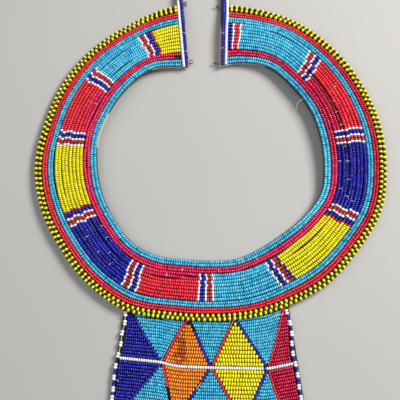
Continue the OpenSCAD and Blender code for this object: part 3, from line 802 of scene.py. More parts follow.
# %% Pairs of strings
# Columns: piece, its solid, distance from the neck edge, thickness, glass, and how much later the
# inner string begins, at the left end
PAIRS = [
    ("neck_turquoise_beads", "inner_turquoise_strings", NECK_X, NECK_BEAD, "turquoise", 0),
    ("crimson_beads", "crimson_strings", CRIMSON_X, CRIMSON_BEAD, "crimson", 5.0),
    ("outer_turquoise_beads", "outer_turquoise_strings", TURQUOISE_X, TURQUOISE_BEAD, "turquoise", 0),
    ("outer_scarlet_beads", "outer_red_strings", RED_X, RED_BEAD, "scarlet", 0),
]
for name, solid, x, diameter, colour, short in PAIRS:
    beads = []
    for row in range(2):
        start = turned(FIRST_RING, 0 if row else short)
        middle = x + (row + 0.5) * diameter
        line = band_line(middle, string_h(diameter), start, LAST_RING)
        beads += beads_along(line, diameter, colour, x=middle)
    thread_beads(name, beads, [colour], [solid])
    print(name, len(beads))

# %% [markdown]
# ## The rim
# The two outer strings have larger beads, one yellow and one black in turn. The black ones are
# smaller. The beads aren't all of one length, so the colours of the two strings slip past each other
# on the way round: here they stand in line, there they make a checkerboard.

# %% Rim beads
# Columns: angle, how far the outer string's colours have slipped, in pairs of beads
SLIPS = [
    (-270, 0), (-255, 0), (-235, 0.45), (-200, 0.5), (-180, 0.05), (-165, 0.3), (-150, 0), (-138, 0),
    (-130, 0.4), (-122.5, 0.6), (-117, 0.45), (-113, 0.5), (-111, 0.65), (-108, 1), (-104, 1.1), (-100, 1.4),
    (-92, 1.65), (-86, 1.5), (-84, 1.85), (-80, 2), (-68, 2.35), (-50, 2.5), (-25, 2.4), (0, 2.5), (11, 2),
    (20, 2.2), (34, 2.5), (44, 2), (54, 2), (65, 2.4), (72, 2.3), (82, 2), (90, 2),
]
# Usual length of a yellow bead with its black one, and the least and most share of a bead's length
RIM_PAIR, RIM_LENGTHS = 3.3, (0.93, 1.03)
# Columns: glass, place in the pair and share of its length, width as a share of the string's
RIM_GLASSES = [("black", 0.28, 0.47, 0.9), ("yellow", 0.77, 0.51, 1.08)]
# How far the strings sway and a bead slides, and the room that a bead needs at an end, in pairs
RIM_SWAY, RIM_SLIDE, RIM_ROOM = 0.1, 0.1, 0.2
# The count starts before the first pair, because the outer string's colours have slipped
RIM_FIRST = -3


def rim_string(x, slips=None, pairs=None):
    """One string of the rim, from the right end round to the left one, and its number of pairs."""
    points, distances = run(band_line(x, string_h(RIM_BEAD), LAST_RING, FIRST_RING, RIM_SWAY))
    total = float(distances[-1])
    pairs = pairs or round(total / RIM_PAIR)
    beads = []
    for i in range(RIM_FIRST, 2 * pairs):
        colour, spot, long, wide = RIM_GLASSES[i % 2]
        share = (i // 2 + spot) / pairs
        if slips:
            angle = angle_of(spot_on(points, distances, share * total))
            share += float(np.interp(angle, *zip(*slips))) / pairs
        length = total / pairs * long * dice.uniform(*RIM_LENGTHS)
        if RIM_ROOM < share * pairs < pairs - RIM_ROOM:
            at = share * total + dice.uniform(-RIM_SLIDE, RIM_SLIDE)
            beads.append(set_bead_at(points, distances, at, RIM_BEAD * wide, length, colour))
    return beads, pairs


inner_beads, rim_pairs = rim_string(RIM_X + RIM_BEAD / 2)
outer_beads, _ = rim_string(RIM_X + 1.5 * RIM_BEAD, SLIPS, rim_pairs)
thread_beads("rim_beads", inner_beads + outer_beads, ["yellow", "black"], ["rim_strings"])
print("rim beads:", len(inner_beads) + len(outer_beads))

# %% [markdown]
# ## The coloured field
# The eight strings of the field carry the blocks and the dividers. The maker counts beads, and the
# beads aren't all of one length, so the change of colour comes a little sooner on one string than on
# the next. That ragged edge is what makes the dividers look woven and not printed.

# %% Blocks and dividers
DIVIDER_COLOURS = {"N": "navy", "R": "brick", "W": "white"}
LAST_COLOURS = {"N": "navy", "R": "scarlet", "W": "white"}
# How many strings on the neck's side of a scarlet block are crimson
CRIMSON_ROWS = {2: 2, 5: 2, 9: 3}
# How far a string's change of colour may slip at a divider, and at the last one
SLIP, LAST_SLIP = 0.75, 0.6
# How far the field's strings sway, and how much of its room a bead of a divider fills
FIELD_SWAY, DIVIDER_SHARE = 0.2, 0.95
blocks = [[] for _ in FIELD_GLASSES]
dividers = [[] for _ in FIELD_GLASSES]
patterns = [beads for _, _, beads in DIVIDERS] + [LAST_DIVIDER]
for row in range(8):
    x = FIELD_X + (row + 0.5) * FIELD_BEAD
    slips = [0.0] + [dice.uniform(-SLIP, SLIP) for _ in DIVIDERS] + [dice.uniform(-LAST_SLIP, LAST_SLIP)]
    for k, colour in enumerate(FIELD_GLASSES):
        last = k == len(DIVIDERS)
        start = turned(BREAKS[2 * k], slips[k])
        change = turned(BREAKS[2 * k + 1], slips[k + 1])
        end = LAST_RING if last else turned(BREAKS[2 * k + 2], slips[k + 1])
        line = band_line(x, string_h(FIELD_BEAD), start, change, FIELD_SWAY)
        glass_name = "crimson" if row < CRIMSON_ROWS.get(k, 0) else colour
        blocks[k] += beads_along(line, FIELD_BEAD, glass_name, every=13, space=0.2, x=x)
        of_letter = LAST_COLOURS if last else DIVIDER_COLOURS
        points, distances = run(band_line(x, string_h(FIELD_BEAD), change, end, FIELD_SWAY))
        step = float(distances[-1]) / len(patterns[k])
        for i, letter in enumerate(patterns[k]):
            dividers[k].append(set_bead_at(points, distances, (i + 0.5) * step, FIELD_BEAD,
                                           step * DIVIDER_SHARE, of_letter[letter]))
for k, colour in enumerate(FIELD_GLASSES):
    colours = [colour, "crimson"] if k in CRIMSON_ROWS else [colour]
    thread_beads(f"block_{k + 1}_beads", blocks[k], colours, [f"field_{k + 1}"])
    colours = ["white", "navy", "scarlet" if k == len(DIVIDERS) else "brick"]
    thread_beads(f"divider_{k + 1}_beads", dividers[k], colours, [f"divider_{k + 1}"])
print("beads in the field:", sum(map(len, blocks)) + sum(map(len, dividers)))

# %% [markdown]
# ## The strings across the ends
# A white and a navy string are laid across each open end, over the ends of all the others, and run
# on past the rim on a tab of hide. The navy beads are the larger ones. At the right end the strings
# bulge into the band below the rim.

# %% End strings
# Places are measured from the line of the end into the band. Columns: side, glass, thickness, then
# the place at the neck edge, half way, below the rim and at the end of the tab
END_STRINGS = [
    (LEFT, "white", 2.1, 3.35, 3.45, 3.45, 3.4), (LEFT, "navy", 2.35, 1.2, 1.2, 1.2, 1.15),
    (RIGHT, "white", 2, 3.95, 4.1, 4.5, 4.1), (RIGHT, "navy", 2.3, 1.75, 1.9, 2.2, 1.9),
]
# Where those four places lie, as shares of the string, and the number of steps of its line
END_SHARES = (0, 0.45, 0.72, 1)
END_STEPS = 24
# How much higher a string lies for each millimetre that it has slid over the others
CLIMB = 0.6


def end_line(side, places, height):
    """The line of an end string, which lies a little higher where it has slid on to the others."""
    reach = HIDE_W + END_REACH
    line = []
    for i in range(END_STEPS + 1):
        place = float(np.interp(i / END_STEPS, END_SHARES, places))
        over = max(0, place - WHITE_OFFSET)
        line.append(band_point(end_ring(side, place), reach * i / END_STEPS, height + CLIMB * over))
    return line


for side, colour, thickness, *places in END_STRINGS:
    name = f"{('left', 'right')[side]}_end_{colour}"
    line = end_line(side, places, string_h(thickness))
    beads = beads_along(line, thickness, colour, pitch=1.25, every=16, space=0.25)
    thread_beads(f"{name}_beads", beads, [colour], [name])
print("end strings:", len(END_STRINGS))

# %% [markdown]
# ## The panel's plan
# The panel widens downwards. A white string sags across it, and outlines of navy and red make
# diamonds that meet on that string. Each outline is given by its place at the collar, at the white
# string and at the lower edge, as a share of the panel's width there.

# %% The panel's lines
# Width at the collar and at the lower edge, length below the rim, how far it sits to the left
PANEL_TOP_W, PANEL_BOTTOM_W, PANEL_DROP, PANEL_SHIFT = 99, 117, 58, 2.5
# Usual height of the white string over the lower edge
PANEL_ROW_H = 32
# Columns: share of the panel's width, height of the white string there as a share of its usual height
WHITE_ROW = [(0, 1.13), (0.25, 1.045), (0.3, 0.99), (0.36, 0.965), (0.52, 0.945), (0.84, 0.925), (1, 1.03)]
# The table is read this far to both sides of a place as well, which rounds its corners
ROUNDING = 0.02
ROW_BEAD, EDGE_BEAD, OUTLINE_BEAD = 2.1, 2.2, 1.7
# Outlines from left to right. Columns: share of the width at the collar, at the white string and at
# the lower edge
LINES = [
    (0, 0, 0), (0.045, 0.25, 0.03), (0.388, 0.25, 0.335), (0.388, 0.525, 0.335),
    (0.674, 0.525, 0.686), (0.674, 0.841, 0.686), (0.975, 0.841, 0.91), (1, 1, 1),
]
COLLAR, ROW, LOW = 0, 1, 2
LAST_LINE = len(LINES) - 1
# How far two strings that meet keep from their corner at those three places, in thicknesses
CORNER_SHARES = (0.5, 0.15, 0.9)


def rim_at(x):
    """The rim of the collar over a place of the panel, closed in on by steps."""
    angle = -90.0
    for _ in range(6):
        angle = -90 + math.degrees(math.asin(x / outer_r(angle)))
    return polar(outer_r(angle), angle)


LOW_Y = -outer_r(-90) - PANEL_DROP
CORNER_Y = rim_at(-PANEL_SHIFT - PANEL_TOP_W / 2).y


def panel_width(y):
    return lerp(PANEL_TOP_W, PANEL_BOTTOM_W, (CORNER_Y - y) / (CORNER_Y - LOW_Y))


def panel_x(share, y):
    """The place at a share of the panel's width there."""
    return -PANEL_SHIFT + (share - 0.5) * panel_width(y)


def panel_share(x, y):
    return (x + PANEL_SHIFT) / panel_width(y) + 0.5


def row_y(share):
    """Height of the white string, its corners rounded off."""
    places = (share - ROUNDING, share, share + ROUNDING)
    return LOW_Y + PANEL_ROW_H * float(np.mean([np.interp(place, *zip(*WHITE_ROW)) for place in places]))


def line_x(k, column, y):
    """Where an outline runs, moved off the corner that it shares with its neighbour."""
    same = [0 <= j < len(LINES) and LINES[k][column] == LINES[j][column] for j in (k + 1, k - 1)]
    side = -1 if same[0] else 1 if same[1] else 0
    return panel_x(LINES[k][column], y) + side * CORNER_SHARES[column] * OUTLINE_BEAD


def line_points(k):
    """An outline's place at the collar, at the white string and at the lower edge."""
    top = rim_at(line_x(k, COLLAR, CORNER_Y))
    y = row_y(LINES[k][ROW])
    return top, Vector((line_x(k, ROW, y), y, 0)), Vector((line_x(k, LOW, LOW_Y), LOW_Y, 0))


print(f"panel from y {CORNER_Y:.1f} to {LOW_Y:.1f} mm")

# %% [markdown]
# ## The panel's fields
# Inside a diamond the strings lie level with the white string and are stacked away from it. Every
# row is as long as the outlines leave room for, and a bead that would run under the collar is left
# out. The maker took a different bead for every colour: the yellow ones are the largest.

# %% How edges and outlines have strayed
UPPER, LOWER = 0, 1
# Columns: height on the panel, how far the left and the right edging string have strayed outwards,
# and how far outwards the rows beside them reach
STRAYED = [
    (-150, 0, 0, -0.6, -0.5), (-143.5, -0.1, -0.2, -0.6, -0.6), (-138.3, 0.1, -0.5, -0.5, -0.9),
    (-131.5, 0.9, 0, -0.5, -0.8), (-124.5, 0.9, -0.1, 0.1, -1.2), (-118, 0.4, -1, 0, -1.8),
    (-111.5, -0.3, -0.8, -1.3, -1.3), (-105.2, 0.3, 0.5, -1.2, -0.6), (-98.9, -0.7, 0.2, -1.1, 0.4),
    (-92.5, 0, -1, -0.2, -0.6),
]
# How far an outline bows to the right between its ends, by outline and part
BOWS = {(1, UPPER): -0.9, (2, UPPER): -0.8, (2, LOWER): 0.6, (6, UPPER): 0.6, (6, LOWER): -0.9}


def bow(k, part, t):
    """How far an outline has bowed at a share t of the way along one of its parts."""
    return BOWS.get((k, part), 0.0) * 4 * t * (1 - t)


def edge_wander(k, y, column=0):
    """How far right an edge of the panel has strayed: its string for column 0, its rows for 2."""
    heights, *strays = zip(*STRAYED)
    if k == 0:
        return -float(np.interp(y, heights, strays[column]))
    return float(np.interp(y, heights, strays[column + 1])) if k == LAST_LINE else 0.0


print("most that an edge has strayed:", max(abs(v) for row in STRAYED for v in row[1:3]), "mm")


# %% Room between two outlines
# Space that a row keeps from the string beside it
ROW_AIR = 0.06
# The rows of the upper right turquoise field lean: number of the field, slope, the place where they
# keep their level, and the distance from the white string where the slope is full
RIGHT_FIELD, RISE, RISE_FROM, RISE_FULL = 5, 0.16, 40, 22
MID_Y = LOW_Y + PANEL_ROW_H


def side_x(k, y, part):
    """Where an outline crosses a height, and how far a string has to stay from it."""
    top, row, low = line_points(k)
    a, b = (row, top) if part == UPPER else (row, low)
    slope = (b.x - a.x) / (b.y - a.y)
    thick = EDGE_BEAD if k in (0, LAST_LINE) else OUTLINE_BEAD
    t = min(1, max(0, (y - a.y) / (b.y - a.y)))
    x = a.x + slope * (y - a.y) + edge_wander(k, y, 2) + bow(k, part, t)
    return x, (thick / 2 + ROW_AIR) * math.sqrt(1 + slope**2)


def row_height(x, i, diameter, part, k):
    """Height of a row of the panel at a place x."""
    away = ROW_BEAD / 2 + (i + 0.5) * diameter
    rise = RISE * (x - RISE_FROM) * min(1, away / RISE_FULL) if part == UPPER and k == RIGHT_FIELD else 0.0
    return row_y(panel_share(x, MID_Y)) + (away if part == UPPER else -away) + rise


def row_ends(k, i, diameter, part):
    """Where a row meets its outlines, found by steps because the row isn't straight."""
    mid = (side_x(k, MID_Y, part)[0] + side_x(k + 1, MID_Y, part)[0]) / 2
    ends = [mid, mid]
    for _ in range(5):
        for e, sign in ((0, 1), (1, -1)):
            x, clear = side_x(k + e, row_height(ends[e], i, diameter, part, k), part)
            ends[e] = x + sign * clear
    return ends


print("first row of the orange field:", [round(x, 1) for x in row_ends(2, 0, 2.2, UPPER)])

# %% Rows of beads
# More rows than a field can hold, and the steps of a row's line
MOST_ROWS, ROW_STEPS = 40, 12
# How far a row wanders on the panel and in height
ROW_SWAY, ROW_WAVE = 0.22, 0.1
# How far a bead slides, its width as a share of the field's, and how much of its room it fills
ROW_SLIDE, ROW_WIDTH, ROW_SHARE = 0.05, 1.01, 0.9
# Least length of a row and most length of a bead, in usual beads, and space over the lower edging
SHORTEST, LONGEST, EDGING_AIR = 0.6, 1.1, 0.05


def panel_rows(k, part, diameter, pitch, colour_of, bare_above):
    """The beads of a field, without those under the rim, in the lower edging or in a bare tip."""
    beads = []
    for i in range(MOST_ROWS):
        left, right = row_ends(k, i, diameter, part)
        if right - left < SHORTEST * pitch:
            continue
        line = []
        for j in range(ROW_STEPS + 1):
            x = lerp(left, right, j / ROW_STEPS)
            wave = wander(x, i, (0.12, 0.7, k + 10 * part))
            line.append(Vector((x, row_height(x, i, diameter, part, k) + ROW_SWAY * wave,
                                string_h(diameter) + ROW_WAVE * wave)))
        points, distances = run(line)
        count = max(1, round((right - left) / pitch))
        stretch = float(distances[-1]) / count
        for j in range(count):
            at = (j + 0.5) * stretch + dice.uniform(-ROW_SLIDE, ROW_SLIDE)
            length = min(stretch, pitch * LONGEST) * ROW_SHARE
            one = set_bead_at(points, distances, at, diameter * ROW_WIDTH, length, None)
            place = one[0]
            clear_of_rim = place.xy.length > outer_r(math.degrees(math.atan2(place.y, place.x))) - AIR
            clear_below = place.y - diameter / 2 > LOW_Y + EDGE_BEAD + EDGING_AIR
            if clear_of_rim and clear_below and place.y <= bare_above:
                beads.append(one[:4] + (colour_of(place), one[5]))
    return beads


# %% Fields of the panel
# Middle and half size of the darker patch in the orange diamond, and the share of dark beads at its rim
PATCH, PATCH_HALF, PATCH_RIM = (-18.6, -113), (3.4, 10), 0.25
# The orange diamond has lost the beads of its tip, above this height
TIP_Y = -99.3


def stained_orange(place):
    """The orange diamond has a patch of darker beads on its left."""
    inside = 1 - max(abs(place[i] - PATCH[i]) / PATCH_HALF[i] for i in (0, 1))
    return "burnt_orange" if inside > 0 and dice.random() < PATCH_RIM + inside else "orange"


# Columns: name, glass, bead diameter, bead pitch
PANEL_FIELDS = [
    ("navy", "navy", 2.0, 1.21), ("left_turquoise", "turquoise", 1.9, 1.16), ("orange", "orange", 2.2, 1.42),
    ("middle_turquoise", "turquoise", 1.9, 1.16), ("yellow", "yellow", 2.4, 1.66),
    ("right_turquoise", "turquoise", 1.9, 1.16), ("crimson", "ruby", 2.0, 1.25),
]
counts = []
for k, (name, colour, diameter, pitch) in enumerate(PANEL_FIELDS):
    orange = colour == "orange"
    colours = [colour] + ["burnt_orange"] * orange
    colour_of = stained_orange if orange else lambda place, c=colour: c
    for part, word in ((UPPER, "upper"), (LOWER, "lower")):
        beads = panel_rows(k, part, diameter, pitch, colour_of, TIP_Y if orange else math.inf)
        thread_beads(f"{word}_{name}_beads", beads, colours, [f"{word}_{name}"])
        counts.append(len(beads))
print("beads in the panel's fields:", sum(counts))

# %% [markdown]
# ## The panel's strings
# The white string, the outlines and the edging lie between the fields. Some beads are gone: near
# the tips of the diamonds, below the orange one, and along the upper left edge, where only the
# white pairs are left on a bare thread. Where a bare thread has held, it shows in the gap.

# %% Ends of the outlines
def at_height(line, height):
    return [Vector((p.x, p.y, height)) for p in line]


def string_ends(k, diameter):
    """Where an outline starts below the rim, turns at the white string and ends at the edging."""
    top, row, low = line_points(k)
    towards = (row - top).normalized()
    # Cosine of the angle between the outline and the line from the neck's middle to the rim
    lean = towards.dot(top.normalized())
    start = top + towards * (AIR + diameter / 2 * math.sqrt(1 - lean * lean)) / lean
    down = (low - row).normalized()
    stop_y = LOW_Y + EDGE_BEAD + AIR + diameter / 2 * abs(down.x)
    return start, row, row + down * (stop_y - row.y) / down.y


print("first outline:", [f"{p.x:.1f} {p.y:.1f}" for p in string_ends(1, OUTLINE_BEAD)])

# %% Outlines with their lost beads
# Stretches with no beads. Columns: outline, part, from and to as shares of the way down the part, and
# whether the bare thread shows
LOST = [(3, UPPER, 0.03, 0.2, False), (4, UPPER, 0.02, 0.19, True), (2, LOWER, 0.43, 0.74, False),
        (3, LOWER, 0.27, 0.45, True)]
# How far an outline stops from the middle of the white string
SKIP = (ROW_BEAD + OUTLINE_BEAD) / 2 - 0.4
OUTLINE_STEPS, BARE_STEPS = 8, 6
bare_threads = []


def outline(k, colour, climb=0.0):
    """An outline in its two parts. climb is how far its top runs up on the rim."""
    beads = []
    start, row, end = string_ends(k, OUTLINE_BEAD)
    if climb:
        start += (start - row).normalized() * climb
    for part, a, b in ((UPPER, start, row + (start - row).normalized() * SKIP),
                       (LOWER, row + (end - row).normalized() * SKIP, end)):
        shares = [i / OUTLINE_STEPS for i in range(OUTLINE_STEPS + 1)]
        bowed = [a.lerp(b, t) + Vector((bow(k, part, t), 0, 0)) for t in shares]
        line = at_height(bowed, string_h(OUTLINE_BEAD))
        if climb and part == UPPER:
            line[0].z += RIM_BEAD
        length = (b - a).length
        gone = [(f * length, t * length, bare) for o, p, f, t, bare in LOST if (o, p) == (k, part)]
        beads += beads_along(line, OUTLINE_BEAD,
                             lambda at: None if any(f < at < t for f, t, _ in gone) else colour,
                             pitch=1.3, every=9, space=0.2)
        bare_threads.extend([spot_on(*run(line), lerp(f, t, i / BARE_STEPS)) for i in range(BARE_STEPS + 1)]
                            for f, t, bare in gone if bare)
    return beads


# How far the red outlines run up on the rim
RED_CLIMB = 1.6
navy_beads = sum((outline(k, "navy") for k in (1, 3, 5)), [])
red_beads = sum((outline(k, "scarlet", RED_CLIMB) for k in (2, 4, 6)), [])
thread_beads("outline_navy_beads", navy_beads, ["navy"], ["panel_outline_navy"])
thread_beads("outline_red_beads", red_beads, ["scarlet"], ["panel_outline_red"])
print("outline beads:", len(navy_beads) + len(red_beads))

# %% White string
# First and last place of the string as shares of the panel's width, and the steps of its line
WHITE_FROM, WHITE_TO, WHITE_STEPS = 0.007, 0.984, 60
# Where its navy knot lies, as a share of its length, and half the length of the knot
KNOT_SHARE, KNOT_HALF = 0.841, 0.9
white_line = []
for i in range(WHITE_STEPS + 1):
    share = lerp(WHITE_FROM, WHITE_TO, i / WHITE_STEPS)
    y = row_y(share)
    white_line.append(Vector((panel_x(share, y), y, string_h(ROW_BEAD))))
knot_at = KNOT_SHARE * length_of(white_line)
white_beads = beads_along(white_line, ROW_BEAD,
                          lambda at: "navy" if abs(at - knot_at) < KNOT_HALF else "white",
                          pitch=1.45, every=12, space=0.15, share=0.92)
thread_beads("white_row_beads", white_beads, ["white", "navy"], ["panel_white_row"])
print("beads of the white string:", len(white_beads))

# %% Edging in white and navy pairs
# Heights of the white pairs on the two edging strings, from the collar down
WHITE_PAIRS = {
    "left": [-93.4, -98.9, -105, -111.6, -118.2, -124.7, -131.5, -138.3, -143.5, -149.9],
    "right": [-92.2, -98.9, -105.3, -111.3, -117.3, -123.5, -130, -137.1, -143.5, -150],
}
# Pitch, width as a share of the string's, and length of the white beads, then of the navy ones, whose
# length is a share of their pitch
WHITE_PITCH, WHITE_WIDTH, WHITE_LENGTH = 1.7, 1.06, 1.68
NAVY_PITCH, NAVY_WIDTH, NAVY_SHARE = 1.5, 0.9, 0.96
# Distance of the white pairs on the lower edge
PAIR_PITCH = 6.6
# The navy beads after the last pair run on as if the next pair lay this far past the end
PAST_END = 1.6
# The left edge has lost its navy beads down to this height
LEFT_LOST = -121.0
EDGE_STEPS = 8


def edging_beads(line, diameter, white_at, lost_until=0.0):
    """White pairs at the given distances, with navy pairs between them.

    The navy ones are gone down to the height lost_until."""
    points, distances = run(line)
    beads = []
    for middle, following in zip(white_at, white_at[1:] + [float(distances[-1]) + PAST_END]):
        for at in (middle - WHITE_PITCH / 2, middle + WHITE_PITCH / 2):
            beads.append(set_bead_at(points, distances, at, WHITE_WIDTH * diameter, WHITE_LENGTH, "white"))
        room = following - middle - 2 * WHITE_PITCH
        count = round(room / NAVY_PITCH)
        step = room / max(1, count)
        for at in (middle + WHITE_PITCH + (i + 0.5) * step for i in range(count)):
            if spot_on(points, distances, at).y < lost_until:
                beads.append(set_bead_at(points, distances, at, diameter * NAVY_WIDTH, step * NAVY_SHARE,
                                         "navy"))
    return beads


edges = []
for k, word, lost_until in ((0, "left", LEFT_LOST), (LAST_LINE, "right", 0.0)):
    start, row, end = string_ends(k, EDGE_BEAD)
    line = at_height([start.lerp(row, i / EDGE_STEPS) for i in range(EDGE_STEPS)]
                     + [row.lerp(end, i / EDGE_STEPS) for i in range(EDGE_STEPS + 1)], string_h(EDGE_BEAD))
    for point in line:
        point.x += edge_wander(k, point.y)
    points, distances = run(line)
    white_at = [float(np.interp(-y, -points[:, 1], distances)) for y in WHITE_PAIRS[word]]
    beads = edging_beads(line, EDGE_BEAD, white_at, lost_until)
    thread_beads(f"edge_{word}_beads", beads, ["white", "navy"], [f"panel_edge_{word}"])
    edges.append(len(beads))
    if k == 0:
        bare_threads.append(line[:EDGE_STEPS + 1])
low_line = [Vector((panel_x(s, LOW_Y) + d, LOW_Y + EDGE_BEAD / 2, string_h(EDGE_BEAD)))
            for s, d in ((0, -EDGE_BEAD / 2), (0.5, 0), (1, EDGE_BEAD / 2))]
low_pairs = int((length_of(low_line) - 2 * WHITE_PITCH) / PAIR_PITCH) + 1
low_beads = edging_beads(low_line, EDGE_BEAD, [WHITE_PITCH + PAIR_PITCH * i for i in range(low_pairs)])
thread_beads("edge_bottom_beads", low_beads, ["white", "navy"], ["panel_edge_bottom"])
bpy.data.objects.remove(bead)
print("edging beads:", edges + [len(low_beads)])

# %% [markdown]
# ## The hide
# Both sheets start as a flat grid. Each point of it is then moved to its place, so the grid takes
# the form of the band or of the panel. Pushing the whole face region down gives the sheet its
# thickness. Points near the edge keep a cut mark, which the material turns cream.

# %% Sheets of hide
def hide_sheet(name, columns, rows, place_of, cut_of, node_name):
    """A sheet of hide and the area of its face. place_of and cut_of take a column and a row of its grid."""
    sheet = bmesh.new()
    bmesh.ops.create_grid(sheet, x_segments=columns, y_segments=rows, size=0.5)
    mark = sheet.verts.layers.float.new("cut")
    for point in sheet.verts:
        column, row = round((point.co.x + 0.5) * columns), round((point.co.y + 0.5) * rows)
        point[mark] = cut_of(column, row)
        point.co = in_frame(place_of(column, row))
    flat_area = sum(face.calc_area() for face in sheet.faces)
    pushed = bmesh.ops.extrude_face_region(sheet, geom=list(sheet.faces))
    low = [item for item in pushed["geom"] if isinstance(item, bmesh.types.BMVert)]
    bmesh.ops.translate(sheet, verts=low, vec=(0, 0, -HIDE_T * MM))
    bmesh.ops.recalc_face_normals(sheet, faces=sheet.faces)
    piece = new_object(name, mesh_from(sheet, name))
    piece.data.materials.append(hide_finish)
    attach(piece, "root")
    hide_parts(node_name)
    return piece, flat_area


print("thickness of the hide:", HIDE_T, "mm")

# %% Hide of the collar
RING_COUNT = 240
# The first rows of a sheet lie this close to its cut edge, so that the pale colour stays narrow
CUT_ROWS, OUTER_CUT = [0, 0.3, 0.8], 0.7
across = CUT_ROWS + [4, 8, 13, 18, 23, 28, 33, HIDE_W - OUTER_CUT, HIDE_W]
hide_rings = [end_ring(LEFT, o) + (END_REACH,) for o in CUT_ROWS + [END_W]]
hide_rings += [end_ring(LEFT, END_W + AIR / 2) + (0,)]
hide_rings += [between(FIRST_RING, LAST_RING, i / RING_COUNT) + (0,) for i in range(RING_COUNT + 1)]
hide_rings += [end_ring(RIGHT, END_W + AIR / 2) + (0,)]
hide_rings += [end_ring(RIGHT, o) + (END_REACH,) for o in [END_W] + CUT_ROWS[::-1]]
# How far the hide follows a crease, as a share of its drop, and the space that it keeps under it
HIDE_DROP, UNDER_AIR = 0.85, 0.02
# How ragged the cut edge of the neck is, and the wave that it follows
RAGGED, RAGGED_WAVE = 0.1, (0.9, 1, 3)


def collar_place(column, row):
    """A point of the collar's hide. Its last two rows run on to make the tabs."""
    *ring, reach = hide_rings[column]
    x = across[row] + (reach if row >= len(across) - 2 else 0)
    ragged = RAGGED * wander(ring[0], row, RAGGED_WAVE) if row == 0 else 0
    drop = creased(ring[0], x)[1] * HIDE_DROP
    return band_point(ring, x + ragged, HIDE_T - min(drop, under_z(ring, x) - UNDER_AIR))


# Where the cut edge of the neck has kept its cream: from this angle, to this angle, how clean
CLEAN_NECK = [(-275, -266, 1), (-256, -240, 0.6), (-208, -190, 1), (62, 78, 0.6), (78, 100, 1)]
# How clean it is elsewhere
SOILED = 0.08
# How cream the first rows are at an end and at the neck
END_CREAM, NECK_CREAM = (1, 1, 0.4), (1, 0.8, 0)
# How far from the neck edge an end has kept its cream, and how much is left beyond
CREAM_REACH, CREAM_LEFT = 24, 0.1


def collar_cut(column, row):
    """How cream the hide is. Hands have darkened most of the edge that lies round the neck."""
    near = min(column, len(hide_rings) - 1 - column)
    kept = 1 if across[row] < CREAM_REACH else CREAM_LEFT
    end = END_CREAM[near] * kept if near < len(END_CREAM) else 0
    angle = hide_rings[column][0]
    clean = max([share for start, stop, share in CLEAN_NECK if start < angle < stop] + [SOILED])
    return max(end, clean * NECK_CREAM[row] if row < len(NECK_CREAM) else 0)


collar_hide, area = hide_sheet("collar_hide_sheet", len(hide_rings) - 1, len(across) - 1, collar_place,
                               collar_cut, "collar_hide")
print(f"hide of the collar: {area * 1e4:.0f} square centimetres")

# %% Hide of the panel
# How far the hide reaches past the edging, and above the panel's upper corners
PANEL_MARGIN, PANEL_TUCK = 0.4, 8
PANEL_HIDE_TOP = CORNER_Y + PANEL_TUCK
PANEL_COLUMNS, PANEL_ROWS = 40, 30
# The second column lies this close to the cut edge, as a share of the width
CUT_SHARE = 0.004
# How cream the edges are, how ragged the sides are, and the wave that they follow
PANEL_CREAM, SIDE_RAGGED, SIDE_WAVE = 0.25, 0.12, (0.35, 1, 8)
panel_side = EDGE_BEAD / 2 + PANEL_MARGIN


def panel_place(column, row):
    y = lerp(LOW_Y, PANEL_HIDE_TOP, row / PANEL_ROWS)
    left, right = panel_x(0, y) - panel_side, panel_x(1, y) + panel_side
    t = {1: CUT_SHARE, PANEL_COLUMNS - 1: 1 - CUT_SHARE}.get(column, column / PANEL_COLUMNS)
    ragged = SIDE_RAGGED * wander(y, column, SIDE_WAVE) if column in (0, PANEL_COLUMNS) else 0
    return Vector((lerp(left, right, t) + ragged, y, HIDE_T))


def panel_cut(column, row):
    return PANEL_CREAM if column in (0, PANEL_COLUMNS) or row == 0 else 0


panel_hide, area = hide_sheet("panel_hide_sheet", PANEL_COLUMNS, PANEL_ROWS, panel_place, panel_cut,
                              "panel_hide")
print(f"hide of the panel: {area * 1e4:.0f} square centimetres")

# %% [markdown]
# ## Wires and threads
# The eyes and hooks are bent wire, sewn under the ends. A curve with a round bevel draws a wire or
# a thread from its path alone, and is then made a mesh. The same helper lays the stitches over the
# strings and the bare thread where beads are lost.

# %% Wire and thread from a path
def strands(name, paths, diameter, finish, roundness):
    """Wires or threads along paths, as one mesh."""
    curve = bpy.data.curves.new(name, "CURVE")
    curve.dimensions = "3D"
    curve.bevel_depth = diameter / 2 * MM
    curve.bevel_resolution = roundness
    curve.use_fill_caps = True
    for path in paths:
        spline = curve.splines.new("POLY")
        spline.points.add(len(path) - 1)
        for point, spot in zip(spline.points, path):
            point.co = (*in_frame(spot), 1)
    drawn = new_object(name + "_curve", curve)
    mesh = applied_mesh(drawn)
    bpy.data.objects.remove(drawn)
    mesh.materials.clear()
    mesh.materials.append(finish)
    for face in mesh.polygons:
        face.use_smooth = True
    piece = new_object(name, mesh)
    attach(piece, "root")
    return piece


print("wire:", WIRE_D, "mm thick")

# %% Eyes and hooks
# Width of an eye's opening, wire under the hide, length and bend of a hook, how far its tip runs back
EYE_W, WIRE_TAIL, HOOK_L, HOOK_R, HOOK_TIP = 1.8, 5, 4, 0.8, 1.2
EYE_STEPS, HOOK_STEPS = 28, 14
